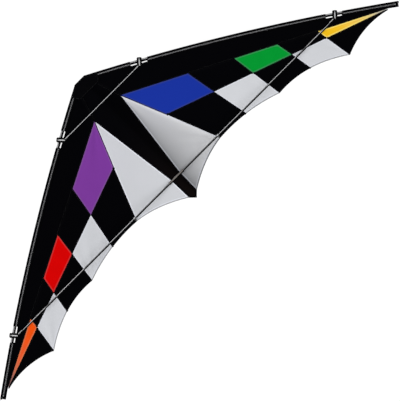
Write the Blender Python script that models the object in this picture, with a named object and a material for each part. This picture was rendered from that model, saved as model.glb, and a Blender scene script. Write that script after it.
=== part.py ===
"""Delta stunt kite of 2.4 m span, lying on its back with its spreaders up.

It rests on its nose and on the two standoff points of its trailing edge. Plan positions are
(x, s): x outward from the spine, s back from the nose. Heights are z above the plane of the
leading-edge spars. A kite point is (x, -s, z) under the kite_frame empty, which is pitched
until the nose and the standoff points stand on the floor. Units are metres.
"""

import math

import bmesh
import bpy
from mathutils import Matrix, Vector

# Spars
SPAR_R = 0.003
SPREADER_R = 0.004
SPAR_SIDES = 10
GAP = 0.0003
BORE_R = SPAR_R + GAP
SPREADER_BORE_R = SPREADER_R + GAP

# Leading edge: an arc through the nose corner, the middle and the wing tip
NOSE_CORNER = (0.0342, 0.0038)
EDGE_MIDDLE = (0.6159, 0.3332)
WING_TIP = (1.1990, 0.7210)
SPAR_INSET = 0.0043
SAIL_INSET = 0.0146
SLEEVE_WIDTH = 0.025
FLAT_INSET = 0.0262
SLEEVE_R = 0.0042
FOLD_START = 74
FABRIC = 0.0009
SAIL_THICKNESS = 0.001

# Spine and centre strip
SPINE_Z = -0.009
SPINE_FRONT = 0.008
SPINE_BACK = 0.7036
STRIP_FRONT = 0.035
STRIP_NOSE_HALF = 0.028
STRIP_WAIST = (0.0260, 0.574)
STRIP_FLAT = 0.008
STRIP_SINK = 0.0052

# Seam corners of one wing: two straight seams run to T, the others stand on them
A = (0.0787, 0.1695)
D = (0.1600, 0.3663)
T = (1.1522, 0.7180)


def on_seam(start, x):
    """The point at x on the straight seam from start to T."""
    return x, start[1] + (T[1] - start[1]) * (x - start[0]) / (T[0] - start[0])


B, G1, G2, Y1 = (on_seam(A, x) for x in (0.3490, 0.5340, 0.7072, 0.8696))
C, G1B, G2B, Y1B = (on_seam(D, x) for x in (0.3732, 0.5476, 0.7214, 0.8760))

# Trailing edge: points of the hem, with the depth of each scallop between them
TAIL = (0.0, 0.7104)
STRIP_TAIL = (0.0232, 0.6878)
P1 = (0.2536, 0.6009)
P2 = (0.5678, 0.6450)
P3 = (0.8955, 0.7418)
HEM_END = (1.1556, 0.7240)
SCALLOPS = (
    (TAIL, STRIP_TAIL, 0.0),
    (STRIP_TAIL, P1, 0.0145),
    (P1, P2, 0.0165),
    (P2, P3, 0.0320),
    (P3, HEM_END, 0.0230),
)
TRAILING_Q1_X = 0.4060
TRAILING_Q2_X = 0.7388
POINT_CUT = 0.04

# Sail depth behind the leading-edge plane, greatest at the standoff points
DEPTH = 0.150
DEPTH_GROWTH = 1.1
SEAM_GAP = 0.00015

# Spreaders
SPREADER_Z = 0.009
UPPER_S = 0.1375
UPPER_BEND_X = 0.2263
LOWER_S = 0.5866
LOWER_BEND_X = 0.9596
STUB_LENGTH = 0.0354
STUB_ANGLE = math.radians(48)
STUB_R = 0.0070
STUB_HALF_WIDTH = 0.0098
STUB_FLAT = math.cos(math.radians(40))
ARM_LENGTH = 0.030
ARM_R = 0.0060
RING_R = 0.0063
RING_LENGTH = 0.016
SOCKET_DEPTH = 0.024

# Openings of the sleeve at the connectors: name, bend, place, length and shift of each, and the
# insets of its three cuts: the bare spar, the room for the ring and the slot behind the strap
NOTCHES = (
    ("upper", UPPER_BEND_X, UPPER_S, 0.0766, -0.0026),
    ("lower", LOWER_BEND_X, LOWER_S, 0.0720, -0.0039),
)
BAND_CUT = (-0.006, 0.0076)
RING_CUT = (-0.006, 0.0130)
SLOT_CUT = (0.0147, 0.0194)
PANEL_SLOT_CUT = (0.0125, SLOT_CUT[1])
SLOT_SHORTER = 0.0015
SLOT_SHIFT = -0.003

# Centre tee
TEE_HALF = 0.043
TEE_R = 0.0066
TEE_STOP = 0.006
TEE_RING_LENGTH = 0.020
TEE_WEB = 0.010

# Standoffs
STANDOFF_X = 0.251
FOOT_S = 0.5955
CLIP_R = 0.0064
CLIP_LENGTH = 0.010
CLIP_SOCKET_R = 0.0034
CLIP_SOCKET_TOP = 0.008
CLIP_SOCKET_END = 0.022
ROD_R = 0.00125
FOOT_R = 0.0026
FOOT_LENGTH = 0.014
PATCH_R = 0.020

# Nose cap and end caps
CAP_FRONT_HALF = 0.028
CAP_SIDE = (0.0778, 0.0278)
CAP_BACK = (0.060, 0.062)
CAP_TOP_Z = 0.0056
CAP_BOTTOM_Z = -0.0135
CAP_WALL = 0.001
END_CAP_R = 0.0046
END_CAP_LENGTH = 0.008
PLUG_LENGTH = 0.005

# Colours, roughness and metallic value of each finish
FINISHES = {
    "black_ripstop": ((0.010, 0.011, 0.013), 0.55, 0.0),
    "light_ripstop": ((0.62, 0.64, 0.67), 0.55, 0.0),
    "blue_ripstop": ((0.012, 0.035, 0.36), 0.5, 0.0),
    "purple_ripstop": ((0.22, 0.045, 0.37), 0.5, 0.0),
    "green_ripstop": ((0.0, 0.32, 0.035), 0.5, 0.0),
    "red_ripstop": ((0.65, 0.0, 0.0), 0.5, 0.0),
    "yellow_ripstop": ((0.90, 0.55, 0.015), 0.5, 0.0),
    "orange_ripstop": ((0.86, 0.09, 0.005), 0.5, 0.0),
    "sleeve_fabric": ((0.012, 0.012, 0.014), 0.7, 0.0),
    "webbing": ((0.014, 0.014, 0.015), 0.8, 0.0),
    "carbon": ((0.018, 0.018, 0.020), 0.3, 0.0),
    "rubber": ((0.020, 0.020, 0.021), 0.6, 0.0),
    "tee_rubber": ((0.060, 0.045, 0.035), 0.6, 0.0),
    "clip_plastic": ((0.45, 0.46, 0.47), 0.4, 0.0),
    "fibreglass": ((0.030, 0.030, 0.030), 0.35, 0.0),
}
SIDES = {"right": 1.0, "left": -1.0}
COLOURS = {
    "right": ("blue_ripstop", "green_ripstop", "yellow_ripstop"),
    "left": ("purple_ripstop", "red_ripstop", "orange_ripstop"),
}


def clear_scene():
    """Remove whatever the file holds."""
    for thing in list(bpy.data.objects):
        bpy.data.objects.remove(thing, do_unlink=True)


def collection(name):
    made = bpy.data.collections.new(name)
    bpy.context.scene.collection.children.link(made)
    return made


clear_scene()
KITE = collection("stunt_kite")
CUTTERS = collection("cutters")
FRAME = bpy.data.objects.new("kite_frame", None)
KITE.objects.link(FRAME)


def finish(name):
    """The Principled material of one finish, made once."""
    found = bpy.data.materials.get(name)
    if found:
        return found
    colour, roughness, metallic = FINISHES[name]
    made = bpy.data.materials.new(name)
    made.use_nodes = True
    shader = made.node_tree.nodes["Principled BSDF"]
    shader.inputs["Base Color"].default_value = (*colour, 1.0)
    shader.inputs["Roughness"].default_value = roughness
    shader.inputs["Metallic"].default_value = metallic
    return made


def place(name, data, finish_name=None, parent=FRAME):
    """Link one object under its parent; without a finish it is a cutter."""
    made = bpy.data.objects.new(name, data)
    made.parent = parent
    if finish_name:
        KITE.objects.link(made)
        data.materials.append(finish(finish_name))
    else:
        CUTTERS.objects.link(made)
        made.hide_render = True
        made.display_type = "WIRE"
    return made


def mesh_from(shape, name):
    bmesh.ops.recalc_face_normals(shape, faces=shape.faces)
    data = bpy.data.meshes.new(name)
    shape.to_mesh(data)
    shape.free()
    return data


def smooth(data):
    data.shade_smooth()
    data.set_sharp_from_angle(angle=math.radians(35))
    return data


def point(plan, z=0.0, side=1.0):
    """The kite point of a plan position."""
    return Vector((side * plan[0], -plan[1], z))


# Leading-edge arc


def circle_through(p, q, r):
    """Centre and radius of the circle through three plan positions."""
    (ax, ay), (bx, by), (cx, cy) = p, q, r
    d = 2 * (ax * (by - cy) + bx * (cy - ay) + cx * (ay - by))
    a2, b2, c2 = ax * ax + ay * ay, bx * bx + by * by, cx * cx + cy * cy
    x = (a2 * (by - cy) + b2 * (cy - ay) + c2 * (ay - by)) / d
    y = (a2 * (cx - bx) + b2 * (ax - cx) + c2 * (bx - ax)) / d
    return (x, y), math.dist((x, y), p)


EDGE_CENTRE, EDGE_R = circle_through(NOSE_CORNER, EDGE_MIDDLE, WING_TIP)


def edge_angle(plan):
    return math.atan2(plan[1] - EDGE_CENTRE[1], plan[0] - EDGE_CENTRE[0])


EDGE_START, EDGE_END = edge_angle(NOSE_CORNER), edge_angle(WING_TIP)
EDGE_LENGTH = EDGE_R * (EDGE_END - EDGE_START)


def edge_point(inset, t):
    """The point at fraction t from nose to tip, that far inside the leading edge."""
    angle = EDGE_START + t * (EDGE_END - EDGE_START)
    r = EDGE_R - inset
    return EDGE_CENTRE[0] + r * math.cos(angle), EDGE_CENTRE[1] + r * math.sin(angle)


def edge_inset(plan):
    return EDGE_R - math.dist(plan, EDGE_CENTRE)


def edge_fraction(plan):
    return (edge_angle(plan) - EDGE_START) / (EDGE_END - EDGE_START)


def lerp(p, q, t):
    return p[0] + t * (q[0] - p[0]), p[1] + t * (q[1] - p[1])


# Trailing edge and strip


def trailing(x):
    """The hem point at a distance x from the spine."""
    for inner, outer, sag in SCALLOPS:
        if x <= outer[0] or outer is HEM_END:
            t = (x - inner[0]) / (outer[0] - inner[0])
            chord = inner[1] + t * (outer[1] - inner[1])
            return x, chord - 4 * sag * t * (1 - t)


Q1 = trailing(TRAILING_Q1_X)
Q2 = trailing(TRAILING_Q2_X)
STRIP_EDGE = ((STRIP_NOSE_HALF, NOSE_CORNER[1]), A, STRIP_WAIST, STRIP_TAIL)


def strip_half(s):
    """Half the width of the centre strip at s."""
    for p, q in zip(STRIP_EDGE, STRIP_EDGE[1:]):
        if s <= q[1]:
            break
    return p[0] + (q[0] - p[0]) * (s - p[1]) / (q[1] - p[1])


# Sail depth


def depth(x, s):
    """How far the sail lies behind the plane of the leading edge."""
    x = abs(x)
    inset = edge_inset((x, s))
    if inset <= FLAT_INSET:
        return 0.0
    reach = min(s, P1[1]) / P1[1]
    ridge_depth = DEPTH * reach**DEPTH_GROWTH
    ridge = (P1[0] * reach, P1[1] * reach)
    outer_slope = ridge_depth / max(edge_inset(ridge) - FLAT_INSET, 0.02)
    outer = outer_slope * (inset - FLAT_INSET)
    inner_slope = max(ridge_depth - STRIP_SINK, 0.0) / max(ridge[0] - STRIP_FLAT, 0.02)
    inner = STRIP_SINK + inner_slope * max(x - STRIP_FLAT, 0.0)
    round_off = ridge_depth * (0.12 - 0.10 * reach**6)
    blended = (inner + outer - math.hypot(inner - outer, round_off)) / 2
    return max(blended, 0.0)


def sail_z(plan):
    return -depth(plan[0], plan[1])


# Sail panels


def along(*points):
    """A path at even speed through plan points."""
    lengths = [math.dist(p, q) for p, q in zip(points, points[1:])]
    total = sum(lengths)

    def at(t):
        left = t * total
        for p, q, length in zip(points, points[1:], lengths):
            if left <= length or q is points[-1]:
                return lerp(p, q, left / length)
            left -= length

    return at


def hem(x0, x1):
    """The stretch of the trailing edge from x0 to x1."""
    return lambda t: trailing(x0 + t * (x1 - x0))


def even(count):
    """Even row fractions, the same in every column."""
    return lambda u: [j / count for j in range(count + 1)]


def inset_border(grid, gap):
    """Draw the border of a grid of plan points inward by a seam gap."""
    nu, nv = len(grid) - 1, len(grid[0]) - 1
    loop = [(i, 0) for i in range(nu)] + [(nu, j) for j in range(nv)]
    loop += [(i, nv) for i in range(nu, 0, -1)] + [(0, j) for j in range(nv, 0, -1)]
    points = [Vector(grid[i][j]) for i, j in loop]
    area = sum(p.x * q.y - p.y * q.x for p, q in zip(points, points[1:] + points[:1]))
    turn = math.copysign(1.0, area)
    for k, (i, j) in enumerate(loop):
        before = (points[k] - points[k - 1]).normalized()
        after = (points[(k + 1) % len(points)] - points[k]).normalized()
        n1 = turn * Vector((-before.y, before.x))
        n2 = turn * Vector((-after.y, after.x))
        moved = points[k] + (n1 + n2) * gap / (1 + n1.dot(n2))
        grid[i][j] = (moved.x, moved.y)


def sheet_mesh(name, grid, side, thickness=SAIL_THICKNESS, height=sail_z):
    """A closed sheet over a grid of plan points, with walls along z."""
    nu, nv = len(grid) - 1, len(grid[0]) - 1
    shape = bmesh.new()
    bmesh.ops.create_grid(shape, x_segments=nu, y_segments=nv, size=1.0)
    shape.verts.ensure_lookup_table()
    for vert in shape.verts:
        i, j = round((vert.co.x + 1) / 2 * nu), round((vert.co.y + 1) / 2 * nv)
        plan = grid[i][j]
        vert.co = point(plan, height(plan) + thickness / 2, side)
    made = bmesh.ops.extrude_face_region(shape, geom=shape.faces[:])
    lower = [e for e in made["geom"] if isinstance(e, bmesh.types.BMVert)]
    bmesh.ops.translate(shape, verts=lower, vec=(0, 0, -thickness))
    return mesh_from(shape, name)


def panel(name, side, finish_name, front, rear, inner=None, outer=None, columns=5, rows=None):
    """One sail panel between four side paths, each front to rear or inner to outer."""
    rows = rows or even(4)
    inner = inner or along(front(0), rear(0))
    outer = outer or along(front(1), rear(1))
    grid = []
    for i in range(columns + 1):
        u = i / columns
        line = []
        for v in rows(u):
            f, r, a, b = front(u), rear(u), inner(v), outer(v)
            corners = (front(0), front(1), rear(0), rear(1))
            weights = ((1 - u) * (1 - v), u * (1 - v), (1 - u) * v, u * v)
            line.append(tuple(
                (1 - v) * f[k] + v * r[k] + (1 - u) * a[k] + u * b[k]
                - sum(w * c[k] for w, c in zip(weights, corners))
                for k in range(2)
            ))
        grid.append(line)
    inset_border(grid, SEAM_GAP)
    return place(name, sheet_mesh(name, grid, side), finish_name)


def leading_panel(name, side):
    """The black panel behind the sleeve, its front edge in it, slotted at the connectors."""
    nose = next(
        p for p in (lerp(STRIP_EDGE[0], A, k / 400) for k in range(400))
        if edge_inset(p) >= SAIL_INSET
    )
    start, stop = edge_fraction(nose), edge_fraction(T)
    body_rows = 4

    def front(u):
        return edge_point(SAIL_INSET, start + u * (stop - start))

    rear = along(A, T)

    def rows(u):
        width = edge_inset(rear(u)) - SAIL_INSET
        first = min((FLAT_INSET - SAIL_INSET) / width, 0.9)
        return [0.0] + [first + (1 - first) * j / body_rows for j in range(body_rows + 1)]

    body = panel(name, side, "black_ripstop", front, rear, columns=16, rows=rows)
    for word, bend_x, s, length, shift in NOTCHES:
        long, moved = length - SLOT_SHORTER, shift + SLOT_SHIFT
        slot = edge_block(f"{name}_{word}_slot", bend_x, s, side, long, PANEL_SLOT_CUT, moved)
        cut(body, slot)


def wing_panels(label, side):
    """The twelve panels of one wing."""
    first, second, third = COLOURS[label]

    def plain(name, finish_name, a, b, c, d, **more):
        panel(f"{label}_{name}", side, finish_name, along(a, b), along(d, c), **more)

    leading_panel(f"{label}_leading_panel", side)
    plain("first_colour_panel", first, A, B, C, D)
    plain("second_black_panel", "black_ripstop", B, G1, G1B, C)
    plain("second_colour_panel", second, G1, G2, G2B, G1B)
    plain("third_black_panel", "black_ripstop", G2, Y1, Y1B, G2B)
    y_end, y_end_b = lerp(Y1, T, 1 - POINT_CUT), lerp(Y1B, T, 1 - POINT_CUT)
    plain("third_colour_panel", third, Y1, y_end, y_end_b, Y1B, columns=6, rows=even(2))
    keel_cut = 0.015
    keel_in, keel_out = lerp(A, STRIP_WAIST, keel_cut), lerp(A, D, keel_cut)
    panel(
        f"{label}_keel_panel", side, "light_ripstop",
        along(keel_in, keel_out), hem(STRIP_TAIL[0], P1[0]),
        inner=along(keel_in, STRIP_WAIST, STRIP_TAIL), outer=along(keel_out, D, P1),
        columns=5, rows=even(10),
    )
    lower = (
        ("first_trailing_panel", "black_ripstop", D, C, P1[0], Q1[0]),
        ("second_trailing_panel", "light_ripstop", C, G1B, Q1[0], P2[0]),
        ("third_trailing_panel", "black_ripstop", G1B, G2B, P2[0], Q2[0]),
        ("fourth_trailing_panel", "light_ripstop", G2B, Y1B, Q2[0], P3[0]),
    )
    for name, finish_name, a, b, x0, x1 in lower:
        panel(f"{label}_{name}", side, finish_name, along(a, b), hem(x0, x1), columns=6)
    tip = lerp(Y1B, T, 1 - POINT_CUT / 2)
    panel(
        f"{label}_tip_panel", side, "black_ripstop",
        along(Y1B, tip), hem(P3[0], tip[0]), columns=8,
    )


def strip_x(share, half):
    """The distance from the spine at a share of the strip's sloping half."""
    return STRIP_FLAT + share * (half - STRIP_FLAT)


def centre_strip():
    """The black strip over the spine, from the nose cap to the tail, open at the tee."""
    rows = [STRIP_FRONT + (A[1] - STRIP_FRONT) * k / 4 for k in range(4)]
    rows += [A[1] + (STRIP_WAIST[1] - A[1]) * k / 7 for k in range(7)]
    rows += [STRIP_WAIST[1] + (STRIP_TAIL[1] - STRIP_WAIST[1]) * k / 3 for k in range(4)]
    grid = []
    for side, share_out in ((-1, 1), (-1, 0.5), (-1, 0), (0, 0), (1, 0), (1, 0.5), (1, 1)):
        end = trailing(abs(side) * strip_x(share_out, STRIP_TAIL[0]))[1]
        line = []
        for s in rows:
            share = (s - STRIP_FRONT) / (STRIP_TAIL[1] - STRIP_FRONT)
            x = strip_x(share_out, strip_half(s))
            line.append((side * x, STRIP_FRONT + share * (end - STRIP_FRONT)))
        grid.append(line)
    inset_border(grid, SEAM_GAP)
    strip = place("centre_strip", sheet_mesh("centre_strip", grid, 1.0), "black_ripstop")
    half = TEE_WEB / 2 + 0.0008
    long = TEE_RING_LENGTH / 2 + 0.0008
    cut(strip, block("tee_opening", (-half, half), (LOWER_S - long, LOWER_S + long), (-0.03, 0.03)))


# Solids made from primitives


def block(name, xs, ss, zs, finish_name=None):
    """A box between plan limits and heights."""
    shape = bmesh.new()
    bmesh.ops.create_cube(shape, size=1.0)
    size = (xs[1] - xs[0], ss[1] - ss[0], zs[1] - zs[0])
    middle = ((xs[0] + xs[1]) / 2, -(ss[0] + ss[1]) / 2, (zs[0] + zs[1]) / 2)
    bmesh.ops.scale(shape, vec=size, verts=shape.verts)
    bmesh.ops.translate(shape, vec=middle, verts=shape.verts)
    return place(name, mesh_from(shape, name), finish_name)


def add_cylinder(shape, start, end, radius, sides=16, radius_end=None):
    """A closed cylinder or cone between two kite points."""
    way = end - start
    turn = way.to_track_quat("Z", "Y").to_matrix().to_4x4()
    middle = Matrix.Translation((start + end) / 2) @ turn
    bmesh.ops.create_cone(
        shape, cap_ends=True, segments=sides, radius1=radius,
        radius2=radius if radius_end is None else radius_end, depth=way.length, matrix=middle,
    )


def cylinder(name, start, end, radius, finish_name=None, sides=16, parent=FRAME):
    shape = bmesh.new()
    add_cylinder(shape, start, end, radius, sides)
    return place(name, smooth(mesh_from(shape, name)), finish_name, parent)


def tube(name, points, radius, finish_name, parent=FRAME):
    """A bar along a line of kite points."""
    curve = bpy.data.curves.new(name, "CURVE")
    curve.dimensions = "3D"
    curve.bevel_depth = radius
    curve.bevel_resolution = 3
    curve.use_fill_caps = True
    line = curve.splines.new("POLY")
    line.points.add(len(points) - 1)
    for spot, where in zip(line.points, points):
        spot.co = (*where, 1.0)
    return place(name, curve, finish_name, parent)


def boolean(target, tool, operation):
    made = target.modifiers.new(f"{operation.lower()}_{tool.name}", "BOOLEAN")
    made.operation = operation
    made.solver = "EXACT"
    made.object = tool
    return target


def cut(target, tool):
    return boolean(target, tool, "DIFFERENCE")


def join(target, tool):
    return boolean(target, tool, "UNION")


# Frame


def leading_spar(label, side):
    """The carbon spar in the sleeve, from the nose to just past the sleeve's end."""
    past = END_CAP_LENGTH / 2 / EDGE_LENGTH
    steps = 14
    first = 0.004
    fractions = [first + (1 + past - first) * k / steps for k in range(steps + 1)]
    points = [point(edge_point(SPAR_INSET, t), 0.0, side) for t in fractions]
    tube(f"{label}_leading_edge_spar", points, SPAR_R, "carbon")


def tip_cap(label, side):
    """The end cap on the wing-tip end of a leading-edge spar."""
    start = 1 + GAP / EDGE_LENGTH
    bore_end = 1 + (END_CAP_LENGTH / 2 + GAP) / EDGE_LENGTH
    far = 1 + END_CAP_LENGTH / EDGE_LENGTH
    ends = [point(edge_point(SPAR_INSET, t), 0.0, side) for t in (start, bore_end, far)]
    cap = cylinder(f"{label}_tip_cap", ends[0], ends[2], END_CAP_R, "rubber", sides=12)
    bore_start = ends[0] - (ends[2] - ends[0]) * 0.2
    cut(cap, cylinder(f"{label}_tip_cap_bore", bore_start, ends[1], BORE_R, sides=12))


def sleeve(label, side):
    """The doubled fabric sleeve around the leading-edge spar, open where the connectors sit."""
    name = f"{label}_sleeve"
    inner_r = SLEEVE_R - FABRIC
    leg_out = SAIL_THICKNESS / 2 + GAP + FABRIC
    leg_in = SAIL_THICKNESS / 2 + GAP
    blend = SAIL_INSET - 0.001
    steps = 10
    fold = [math.radians(FOLD_START + (360 - 2 * FOLD_START) * k / steps) for k in range(steps + 1)]
    outside = [(SPAR_INSET + SLEEVE_R * math.cos(a), SLEEVE_R * math.sin(a)) for a in fold]
    inside = [(SPAR_INSET + inner_r * math.cos(a), inner_r * math.sin(a)) for a in reversed(fold)]
    profile = [(SLEEVE_WIDTH, leg_out), (blend, leg_out), *outside, (blend, -leg_out),
               (SLEEVE_WIDTH, -leg_out), (SLEEVE_WIDTH, -leg_in), (blend, -leg_in), *inside,
               (blend, leg_in), (SLEEVE_WIDTH, leg_in)]
    shape = bmesh.new()
    ring = []
    for inset, z in profile:
        ring.append(shape.verts.new(point(edge_point(inset, 0.0), z, side)))
    face = shape.faces.new(ring)
    centre = point(EDGE_CENTRE, 0.0, side)
    bmesh.ops.spin(
        shape, geom=[face, *face.edges, *face.verts], cent=centre, axis=(0, 0, 1),
        angle=-side * (EDGE_END - EDGE_START), steps=16, use_duplicate=False,
    )
    body = place(name, smooth(mesh_from(shape, name)), "sleeve_fabric")
    ring_room = RING_LENGTH + 0.001
    for word, bend_x, s, length, shift in NOTCHES:
        where = (bend_x, s, side)
        long, moved = length - SLOT_SHORTER, shift + SLOT_SHIFT
        cut(body, edge_block(f"{name}_{word}_band", *where, length, BAND_CUT, shift))
        cut(body, edge_block(f"{name}_{word}_ring_room", *where, ring_room, RING_CUT))
        cut(body, edge_block(f"{name}_{word}_slot", *where, long, SLOT_CUT, moved))


def edge_block(name, bend_x, s, side, length, insets, shift=0.0):
    """A box along the leading edge at a connector, between two insets, moved toward the tip."""
    cross, way = crossing(bend_x, s, side)
    inward = (point(EDGE_CENTRE, 0.0, side) - cross).normalized()
    middle = cross + way * shift + inward * ((insets[0] + insets[1]) / 2 - SPAR_INSET)
    shape = bmesh.new()
    bmesh.ops.create_cube(shape, size=1.0)
    turn = Matrix((way, inward, way.cross(inward))).transposed().to_4x4()
    size = Matrix.Diagonal((length, insets[1] - insets[0], 0.04, 1.0))
    bmesh.ops.transform(shape, matrix=Matrix.Translation(middle) @ turn @ size, verts=shape.verts)
    return place(name, mesh_from(shape, name))


def crossing(bend_x, s, side):
    """Where a connector's stub crosses the leading-edge spar, and the spar's direction there."""
    step = (math.cos(STUB_ANGLE), -math.sin(STUB_ANGLE))
    low, high = 0.0, STUB_LENGTH
    for _ in range(40):
        middle = (low + high) / 2
        plan = (bend_x + middle * step[0], s + middle * step[1])
        if edge_inset(plan) > SPAR_INSET:
            low = middle
        else:
            high = middle
    t = edge_fraction(plan)
    ahead = Vector(edge_point(SPAR_INSET, t + 0.001)) - Vector(edge_point(SPAR_INSET, t - 0.001))
    way = Vector((side * ahead.x, -ahead.y, 0)).normalized()
    return point(plan, 0.0, side), way


def stub_body(name, start, end):
    """A bar with rounded ends, wider than it is high, and a flat face on the second end."""
    way, up = (end - start).normalized(), Vector((0, 0, 1))
    across = way.cross(up)
    shape = bmesh.new()
    bmesh.ops.create_uvsphere(shape, u_segments=16, v_segments=9, radius=1.0)
    tip = [v for v in shape.verts if v.co.z > STUB_FLAT + 0.05]
    bmesh.ops.delete(shape, geom=tip, context="VERTS")
    bmesh.ops.holes_fill(shape, edges=shape.edges, sides=0)
    for vert in shape.verts:
        x, y, z = vert.co
        base = end if z > 0 else start
        vert.co = base + across * x * STUB_HALF_WIDTH + up * y * STUB_R + way * z * STUB_R
    return place(name, smooth(mesh_from(shape, name)), "rubber")


def connector(label, word, side, bend_x, s):
    """A rubber connector: ring on the leading-edge spar, round-ended stub over it, socket arm."""
    name = f"{label}_{word}_connector"
    cross, way = crossing(bend_x, s, side)
    bend = point((bend_x, s), SPREADER_Z, side)
    stub = Vector((side * math.cos(STUB_ANGLE), math.sin(STUB_ANGLE), 0))
    arm = Vector((-side, 0, 0))
    body = stub_body(name, bend, bend + stub * (STUB_LENGTH - STUB_FLAT * STUB_R))
    half = way * RING_LENGTH / 2
    join(body, cylinder(f"{name}_ring", cross - half, cross + half, RING_R))
    join(body, cylinder(f"{name}_arm", bend, bend + arm * ARM_LENGTH, ARM_R))
    socket = bend + arm * (ARM_LENGTH - SOCKET_DEPTH - GAP)
    cut(body, cylinder(f"{name}_socket", socket, bend + arm * (ARM_LENGTH + 0.01), SPREADER_BORE_R))
    cut(body, cylinder(f"{name}_bore", cross - half * 1.6, cross + half * 1.6, BORE_R))


def spreaders():
    """The upper spreader between its connectors, and the two lower ones out of the tee."""
    upper = UPPER_BEND_X - ARM_LENGTH + SOCKET_DEPTH
    ends = [point((upper, UPPER_S), SPREADER_Z, side) for side in (-1.0, 1.0)]
    tube("upper_spreader", ends, SPREADER_R, "carbon")
    lower = LOWER_BEND_X - ARM_LENGTH + SOCKET_DEPTH
    for label, side in SIDES.items():
        ends = [point((x, LOWER_S), SPREADER_Z, side) for x in (TEE_STOP + GAP, lower)]
        tube(f"{label}_lower_spreader", ends, SPREADER_R, "carbon")


def spine():
    """The spine behind the strip, and the flush plug that closes its end."""
    ends = [point((0, s), SPINE_Z) for s in (SPINE_FRONT, SPINE_BACK)]
    tube("spine", ends, SPAR_R, "carbon")
    ends = [point((0, s), SPINE_Z) for s in (SPINE_BACK + GAP, SPINE_BACK + GAP + PLUG_LENGTH)]
    cylinder("spine_cap", *ends, SPAR_R, "rubber", 12)


def centre_tee():
    """The moulded tee: socket tube in front of the sail, ring on the spine behind it."""
    ends = [point((side * TEE_HALF, LOWER_S), SPREADER_Z) for side in (-1, 1)]
    tee = cylinder("centre_tee", *ends, TEE_R, "tee_rubber")
    half_ring = TEE_RING_LENGTH / 2
    ring = [point((0, LOWER_S + k * half_ring), SPINE_Z) for k in (-1, 1)]
    web = (SPINE_Z, SPREADER_Z - 0.003)
    join(tee, block("tee_web", (-TEE_WEB / 2, TEE_WEB / 2), (LOWER_S - 0.008, LOWER_S + 0.008), web))
    join(tee, cylinder("tee_ring", *ring, RING_R))
    spine_bore = [point((0, LOWER_S + k * half_ring * 1.5), SPINE_Z) for k in (-1, 1)]
    cut(tee, cylinder("tee_spine_bore", *spine_bore, BORE_R))
    for label, side in SIDES.items():
        bore = [point((x, LOWER_S), SPREADER_Z, side) for x in (TEE_STOP, TEE_HALF + 0.01)]
        cut(tee, cylinder(f"tee_{label}_socket", *bore, SPREADER_BORE_R))


def nose_cap():
    """The webbing folded over the nose: one C-shaped fold, cut to its plan."""
    plan = [(CAP_FRONT_HALF, 0.0), CAP_SIDE, CAP_BACK]
    outline = plan + [(-x, s) for x, s in reversed(plan)]
    shape = bmesh.new()
    profile = [(0.0, CAP_TOP_Z), (0.08, CAP_TOP_Z), (0.08, CAP_TOP_Z - CAP_WALL),
               (CAP_WALL, CAP_TOP_Z - CAP_WALL), (CAP_WALL, CAP_BOTTOM_Z + CAP_WALL),
               (0.08, CAP_BOTTOM_Z + CAP_WALL), (0.08, CAP_BOTTOM_Z), (0.0, CAP_BOTTOM_Z)]
    face = shape.faces.new([shape.verts.new((-0.1, -s, z)) for s, z in profile])
    made = bmesh.ops.extrude_face_region(shape, geom=[face])
    moved = [e for e in made["geom"] if isinstance(e, bmesh.types.BMVert)]
    bmesh.ops.translate(shape, verts=moved, vec=(0.2, 0, 0))
    cap = place("nose_cap", mesh_from(shape, "nose_cap"), "webbing")
    shape = bmesh.new()
    face = shape.faces.new([shape.verts.new(point(p, -0.05)) for p in outline])
    made = bmesh.ops.extrude_face_region(shape, geom=[face])
    moved = [e for e in made["geom"] if isinstance(e, bmesh.types.BMVert)]
    bmesh.ops.translate(shape, verts=moved, vec=(0, 0, 0.1))
    boolean(cap, place("nose_cap_plan", mesh_from(shape, "nose_cap_plan")), "INTERSECT")


# Standoffs


def standoff(label, side):
    """Clip, rod and foot of one sail support, hinged on the lower spreader."""
    hinge = point((STANDOFF_X, LOWER_S), SPREADER_Z, side)
    seat_rise = FOOT_R * (DEPTH - STRIP_SINK) / (P1[0] - STRIP_FLAT)
    foot_z = sail_z((STANDOFF_X, FOOT_S)) + SAIL_THICKNESS / 2 + seat_rise + GAP
    foot = point((STANDOFF_X, FOOT_S), foot_z, side)
    down = (foot - hinge).normalized()
    pivot = bpy.data.objects.new(f"{label}_standoff_pivot", None)
    pivot.location = hinge
    pivot.parent = FRAME
    KITE.objects.link(pivot)
    reach = (foot - hinge).length

    def at(distance):
        return down * distance

    axial = Vector((CLIP_LENGTH / 2, 0, 0))
    clip = cylinder(f"{label}_standoff_clip", -axial, axial, CLIP_R, "clip_plastic", 16, pivot)
    socket = cylinder(f"{label}_clip_socket", at(0.001), at(CLIP_SOCKET_END), CLIP_SOCKET_R, None, 12, pivot)
    join(clip, socket)
    bar_bore = cylinder(f"{label}_clip_bore", -axial * 2, axial * 2, SPREADER_BORE_R, None, 16, pivot)
    cut(clip, bar_bore)
    bore = (at(CLIP_SOCKET_TOP), at(CLIP_SOCKET_END + 0.01))
    cut(clip, cylinder(f"{label}_clip_rod_bore", *bore, ROD_R + GAP, None, 10, pivot))
    wall = 0.002
    rod_ends = (at(CLIP_SOCKET_TOP + GAP), at(reach - wall - GAP))
    tube(f"{label}_standoff_rod", rod_ends, ROD_R, "fibreglass", pivot)
    cap = cylinder(f"{label}_standoff_foot", at(reach - FOOT_LENGTH), at(reach), FOOT_R, "rubber", 12, pivot)
    bore = (at(reach - FOOT_LENGTH - 0.01), at(reach - wall))
    cut(cap, cylinder(f"{label}_foot_bore", *bore, ROD_R + GAP, None, 10, pivot))


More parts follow.
